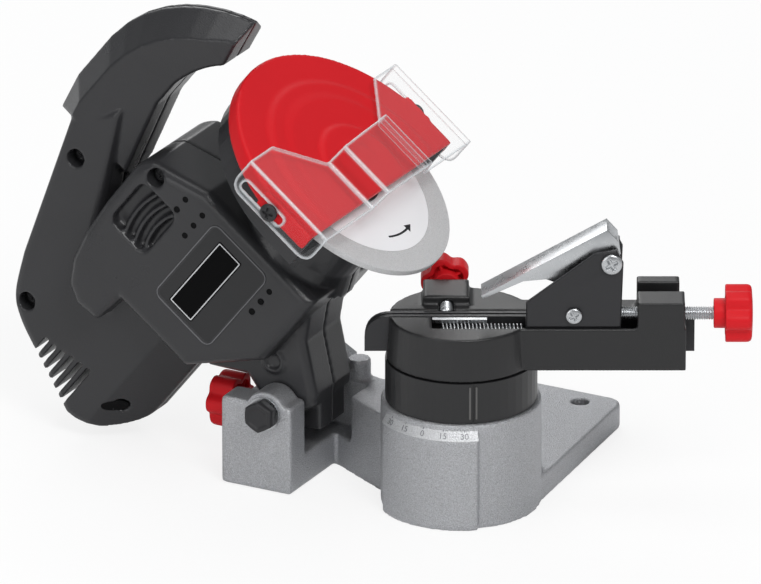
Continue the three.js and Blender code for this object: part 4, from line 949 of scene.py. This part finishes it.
class SHARPENER_OT_knobs(bpy.types.Operator):
    """Lobed hand knobs of the chain stop, the vise clamp, the depth stop and the turntable lock"""
    bl_idname = "sharpener.knobs"
    bl_label = "Knobs"

    def execute(self, context):
        depth_low, depth_back = MACHINE.inverted() @ Vector(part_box("depth_knob")[0]), 13.25
        places = {
            "stop_knob": facing(VISE, (114, ROD_Y, VISE_TOP + ROD_RISE), (1, 0, 0)),
            "clamp_knob": facing(VISE, (CLAMP_X, 38, VISE_TOP - CLAMP_DROP), (0, 1, 0)),
            "depth_knob": facing(MACHINE, (depth_low.x + depth_back, 0, DEPTH_Z), (-1, 0, 0)),
            "lock_knob": facing(MACHINE, (0, 0, 24), (0, 0, -1))}
        knobs = (
            ("stop_knob", dict(radius=12.6, depth=11.4, hub=5, hub_radius=6.5, lobes=6, bore=3.3)),
            ("clamp_knob", dict(radius=11, depth=11, hub=4, hub_radius=6, lobes=5, bore=3.3)),
            ("depth_knob", dict(radius=12.5, depth=12, hub=6, hub_radius=6.5, lobes=6, bore=3.3)),
            ("lock_knob", dict(radius=20, depth=9, hub=16.1, hub_radius=8, lobes=6, bore=4.3)))
        for node, shape in knobs:
            stand_for(lobed_knob(f"{node}_shaped", places[node], **shape), node)
        return {"FINISHED"}


class SHARPENER_OT_threads(bpy.types.Operator):
    """Threaded rods of the chain stop, the vise clamp and the depth stop"""
    bl_idname = "sharpener.threads"
    bl_label = "Threaded rods"

    def execute(self, context):
        pitch = context.scene.sharpener_sizes.thread_pitch / MM
        low, high = (MACHINE.inverted() @ Vector(corner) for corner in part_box("depth_screw"))
        radius = 2.98
        rods = (
            ("stop_rod", facing(VISE, (59, ROD_Y, VISE_TOP + ROD_RISE), (1, 0, 0)), 61),
            ("clamp_screw", facing(VISE, (CLAMP_X, 3.4, VISE_TOP - CLAMP_DROP), (0, 1, 0)), 40.1),
            ("depth_screw", facing(MACHINE, (low.x, 0, DEPTH_Z), (1, 0, 0)), high.x - low.x))
        for node, place, length in rods:
            stand_for(threaded(f"{node}_thread", place, radius, length, pitch), node)
        return {"FINISHED"}


class SHARPENER_OT_spring(bpy.types.Operator):
    """Return spring of the carriage, a round wire along a helix"""
    bl_idname = "sharpener.spring"
    bl_label = "Return spring"

    def execute(self, context):
        turns = context.scene.sharpener_sizes.spring_turns
        left, right, wire, sides, rows_per_turn = -8.95, 27.45, 0.4, 10, 24
        coil = 2.9 - wire
        middle, end = (ROD_Y, VISE_TOP - 3.6), wire * 1.3
        turn = np.linspace(0, turns * 2 * math.pi, turns * rows_per_turn)[:, None]
        around = full_turn(sides)
        along = left + end + (right - left - 2 * end) * turn / turn[-1]
        reach = coil + wire * np.cos(around)
        points = np.stack([along + wire * np.sin(around), middle[0] + reach * np.cos(turn),
                           middle[1] + reach * np.sin(turn)], axis=-1)
        obj = link_mesh(solid_mesh("return_spring_coil", VISE, points, caps=True), "return_spring")
        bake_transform(obj)
        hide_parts("return_spring")
        return {"FINISHED"}


class SHARPENER_OT_screws(bpy.types.Operator):
    """Cross-head screws and the hexagon bolt of the pivot"""
    bl_idname = "sharpener.screws"
    bl_label = "Screws and bolt"

    def execute(self, context):
        visor = dict(radius=4, height=2, shank=2, length=3.1)
        pawl = dict(radius=4.5, height=2.2, shank=2, length=28.1)
        shoe = dict(radius=3.5, height=1.8, shank=1.9, length=6.2)
        shell = dict(radius=3.4, height=1.1, shank=2, length=1.4)
        sunk = 7.2
        screws = (
            ("visor_screw_front", facing(HEAD, (-52, -67, 98.4), (0, -1, 0)), visor),
            ("visor_screw_rear", facing(HEAD, (-52, 67, 98.4), (0, 1, 0)), visor),
            ("pawl_screw", facing(VISE, (64.7, -BRACKET_SIDE, VISE_TOP + 30), (0, -1, 0)), pawl),
            ("shoe_screw", facing(VISE, (48.5, -BRACKET_SIDE, VISE_TOP + 6), (0, -1, 0)), shoe),
            ("housing_screw_1", facing(HEAD, (-139, sunk - GRIP_SIDE, 10.5), (0, -1, 0)), shell),
            ("housing_screw_2", facing(HEAD, (-104.5, sunk - SHELL_SIDE, 43), (0, -1, 0)), shell),
            ("housing_screw_3", facing(HEAD, (-113.8, sunk - GRIP_SIDE, -61.5), (0, -1, 0)), shell))
        for node, place, shape in screws:
            stand_for(cross_head(f"{node}_head", place, **shape), node)
        low, high = (MACHINE.inverted() @ Vector(corner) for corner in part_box("pivot_bolt"))
        across, height = 12.4, 5.5
        seat = low.y + height
        place = facing(MACHINE, (PIVOT_X, seat, PIVOT_Z), (0, -1, 0))
        bolt = hex_bolt("pivot_bolt_hex", place, across, height, shank=4, length=high.y - seat)
        stand_for(bolt, "pivot_bolt")
        return {"FINISHED"}


class SHARPENER_OT_dial(bpy.types.Operator):
    """Brighter band on the base's chamfer, a painted highlight where its slope catches the light, with its degree
    marks and numbers
    """
    bl_idname = "sharpener.dial"
    bl_label = "Dial"

    def execute(self, context):
        # Painted highlight: a brighter copy of the cast metal over the chamfer
        chamfer_highlight = metal("Turned band", linear(212, 213, 215), roughness=0.42, fleck=1500.0, strength=1.0,
                       bump=0.5, metallic=0.75)
        dark = metal("Dial marks", linear(146, 147, 150), roughness=0.5, fleck=1300.0, strength=0.6,
                     bump=0.2, metallic=0.7)
        node, radius = "base_casting", (DIAL_LOW[0] + DIAL_HIGH[0]) / 2
        rows, half_sweep, low, high, rise, chamfer = 90, 39.4, -3.75, 3.55, 0.12, 0.15
        arc = np.radians(np.linspace(-half_sweep, half_sweep, rows)) * radius
        section = np.array([[low, 0], [low + chamfer, rise], [high - chamfer, rise], [high, 0]])
        flat = np.column_stack([np.repeat(arc, 4), np.tile(section, (rows, 1))])
        band = self.on_cone(flat, 0).reshape(rows, 4, 3)
        add_detail(solid_mesh("dial_highlight_band", MACHINE, band, caps=True, smooth=False), node, chamfer_highlight)
        half_width, top, bottom, proud, long, short = 0.22, 3.1, 0.1, 0.28, 2.6, 1.7
        for index, degrees in enumerate(range(-35, 36, 5)):
            foot = top - (long if degrees % 15 == 0 else short)
            ring = np.array([[foot, bottom], [foot, proud], [top, proud], [top, bottom]])
            flat = np.column_stack([np.repeat([-half_width, half_width], 4), np.tile(ring, (2, 1))])
            mark = self.on_cone(flat, degrees).reshape(2, 4, 3)
            mesh = solid_mesh(f"dial_mark_{index + 1}", MACHINE, mark, caps=True, smooth=False)
            add_detail(mesh, node, dark)
        digit_height, digit_rise, digit_place = 2.6, 0.22, (0, -1.5, 0.2)
        for index, degrees in enumerate((-30, -15, 0, 15, 30)):
            mesh = numeral(str(abs(degrees)), digit_height, digit_rise)
            points = read_points(mesh) + digit_place
            write_points(mesh, placed(self.on_cone(points, degrees), MACHINE))
            mesh.name = f"dial_number_{index + 1}"
            add_detail(mesh, node, dark)
        return {"FINISHED"}

    def on_cone(self, flat, degrees):
        """Flat x becomes an arc about z, flat y runs up the chamfer's slope and flat z stands off it."""
        up = (DIAL_HIGH - DIAL_LOW) / np.linalg.norm(DIAL_HIGH - DIAL_LOW)
        out, middle = np.array([up[1], -up[0]]), (DIAL_LOW + DIAL_HIGH) / 2
        section = middle + flat[:, 1:2] * up + flat[:, 2:3] * out
        angle = math.radians(degrees) + flat[:, 0] / middle[0]
        return np.column_stack([section[:, 0] * np.sin(angle), -section[:, 0] * np.cos(angle), section[:, 1]])


class SHARPENER_OT_mark(bpy.types.Operator):
    """Pair of upright ribs on the turntable that point at the dial"""
    bl_idname = "sharpener.mark"
    bl_label = "Swivel mark"

    def execute(self, context):
        # The two ribs are a lighter grey than the turntable
        pale = plastic("Worn black", linear(92, 91, 90), roughness=0.4, grain=1500.0, bump=0.2, change=0.1)
        radius, half_gap, turn, low, high = 33.1, 1.4, math.radians(8.7), -0.2, 0.25
        outline = round_rectangle(left=-0.4, right=0.4, low=50.5, high=65.5, corner=0.35)
        for index, offset in enumerate((-half_gap, half_gap)):
            place = VISE @ Matrix.Rotation(turn + offset / radius, 4, "Z")
            upright = place @ Matrix.Translation((0, -radius, 0)) @ UPRIGHT
            mesh = sheet_solid(f"swivel_mark_{index + 1}", upright, outline, low, high)
            add_detail(mesh, "turntable_lower", pale)
        return {"FINISHED"}


class SHARPENER_OT_plate(bpy.types.Operator):
    """Dark panel on the housing's side, with its bare name plate and the rows of small holes, whose rims and
    floors, like the hole in the foot, are darkened with painted shade
    """
    bl_idname = "sharpener.plate"
    bl_label = "Panel and plate"

    def execute(self, context):
        node, panel_y, side_y, border = "housing_front", -31.3, -32.04, 0.5
        place, side = (HEAD @ Matrix.Translation((0, y, 0)) @ UPRIGHT for y in (panel_y, side_y))
        panel = plastic("Panel plastic", linear(31, 31, 33), roughness=0.34, grain=1300.0, bump=0.25,
                        change=0.08)
        plate = plastic("Gloss black", linear(10, 10, 11), roughness=0.3, grain=500.0, bump=0.03,
                        change=0.05, specular=0.05)
        pale = plastic("Pale print", linear(214, 215, 217), roughness=0.5, grain=500.0, bump=0.03,
                       change=0.05)
        # Painted shade: near black for the holes' rims and floors, where the real holes are only in shadow
        dark = plastic("Pit black", linear(14, 14, 15), roughness=0.6, grain=1300.0, bump=0.1,
                       change=0.05, specular=0.08)
        # Painted highlight: a light strip round the panel's raised rim, where its edge catches the light
        panel_rim_highlight = plastic("Worn edge", linear(104, 104, 107), roughness=0.3, grain=1300.0, bump=0.2,
                       change=0.1)
        outline = round_rectangle(left=-71.8, right=-38.2, low=1.2, high=49.8, corner=4)
        add_detail(sheet_solid("side_panel", place, outline, -0.3, 0.12), node, panel)
        outline = round_rectangle(left=-65, right=-51, low=4, high=44.5, corner=0.8)
        add_detail(sheet_solid("name_plate", place, outline, 0.1, 0.3), node, plate)
        for name, sides, low, high, material in (
                ("name_plate_border", (-64.5, -51.5, 4.5, 44.0, 0.6), 0.28, 0.36, pale),
                ("side_panel_border", (-72.1, -37.9, 0.9, 50.1, 4.3), -0.3, 0.8, panel_rim_highlight)):
            add_detail(border_solid(name, place, sides, border, low, high), node, material)
        radius, pitch, rows = 1.4, 7, ((-88.3, 47.2, 2), (-78.1, 47.8, 3), (-34, 45.3, 3))
        holes = [(x, top - pitch * step, 0) for x, top, count in rows for step in range(count)]
        for index, hole in enumerate(holes):
            where = side @ Matrix.Translation(hole)
            add_detail(self.pit(f"side_hole_shade_{index + 1}", where, radius, radius), node, dark)
        across, up, out = (0.635, 0.508, 0.582), (-0.454, -0.361, 0.815), (0.624, -0.782, 0.0)
        tilt = Matrix((across, up, out)).transposed().to_4x4()
        # The foot's hole gets an oval of painted shade over its mouth
        where = HEAD @ Matrix.Translation((-53.9, -15.3, -67.9)) @ tilt
        add_detail(self.pit("foot_hole_shade", where, half_width=6.3, half_height=2.7), node, dark)
        return {"FINISHED"}

    def pit(self, name, matrix, half_width, half_height):
        """Small oval hole in a surface at z = 0: a low rim and a floor just inside it, which carry the painted
        shade of the hole.
        """
        rim = [(1.0, -0.8), (1.0, 0.02), (0.86, 0.05), (0.75, -0.03), (0, -0.05), (0, -0.8)]
        return turned(name, matrix @ Matrix.Diagonal((half_width, half_height, 1, 1)), rim, 28)


class SHARPENER_OT_carriage(bpy.types.Operator):
    """Folded bracket and sheet metal pawl, with eased edges"""
    bl_idname = "sharpener.carriage"
    bl_label = "Carriage"

    def execute(self, context):
        creased("stop_bracket", 0.0004)
        creased("pawl", 0.0003)
        return {"FINISHED"}


OPERATORS = (SHARPENER_OT_stage, SHARPENER_OT_carried, SHARPENER_OT_housing, SHARPENER_OT_castings,
             SHARPENER_OT_wheel, SHARPENER_OT_guard, SHARPENER_OT_carriage, SHARPENER_OT_knobs,
             SHARPENER_OT_threads, SHARPENER_OT_spring, SHARPENER_OT_screws, SHARPENER_OT_dial,
             SHARPENER_OT_mark, SHARPENER_OT_plate)


class SHARPENER_PT_panel(bpy.types.Panel):
    """Lists the steps that build the sharpener's finished surfaces"""
    bl_label = "Sharpener"
    bl_idname = "SHARPENER_PT_panel"
    bl_space_type = "VIEW_3D"
    bl_region_type = "UI"
    bl_category = "Sharpener"

    def draw(self, context):
        for operator in OPERATORS:
            self.layout.operator(operator.bl_idname)


CLASSES = (SharpenerSizes, SharpenerColours, *OPERATORS, SHARPENER_PT_panel)


def register():
    """Adds the classes and the two groups of settings."""
    for item in CLASSES:
        bpy.utils.register_class(item)
    bpy.types.Scene.sharpener_sizes = bpy.props.PointerProperty(type=SharpenerSizes)
    bpy.types.Scene.sharpener_colours = bpy.props.PointerProperty(type=SharpenerColours)


def unregister():
    """Removes them again."""
    del bpy.types.Scene.sharpener_colours
    del bpy.types.Scene.sharpener_sizes
    for item in reversed(CLASSES):
        bpy.utils.unregister_class(item)


def main():
    """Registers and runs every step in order."""
    register()
    for operator in OPERATORS:
        group, name = operator.bl_idname.split(".")
        getattr(getattr(bpy.ops, group), name)()


if __name__ == "__main__":
    main()
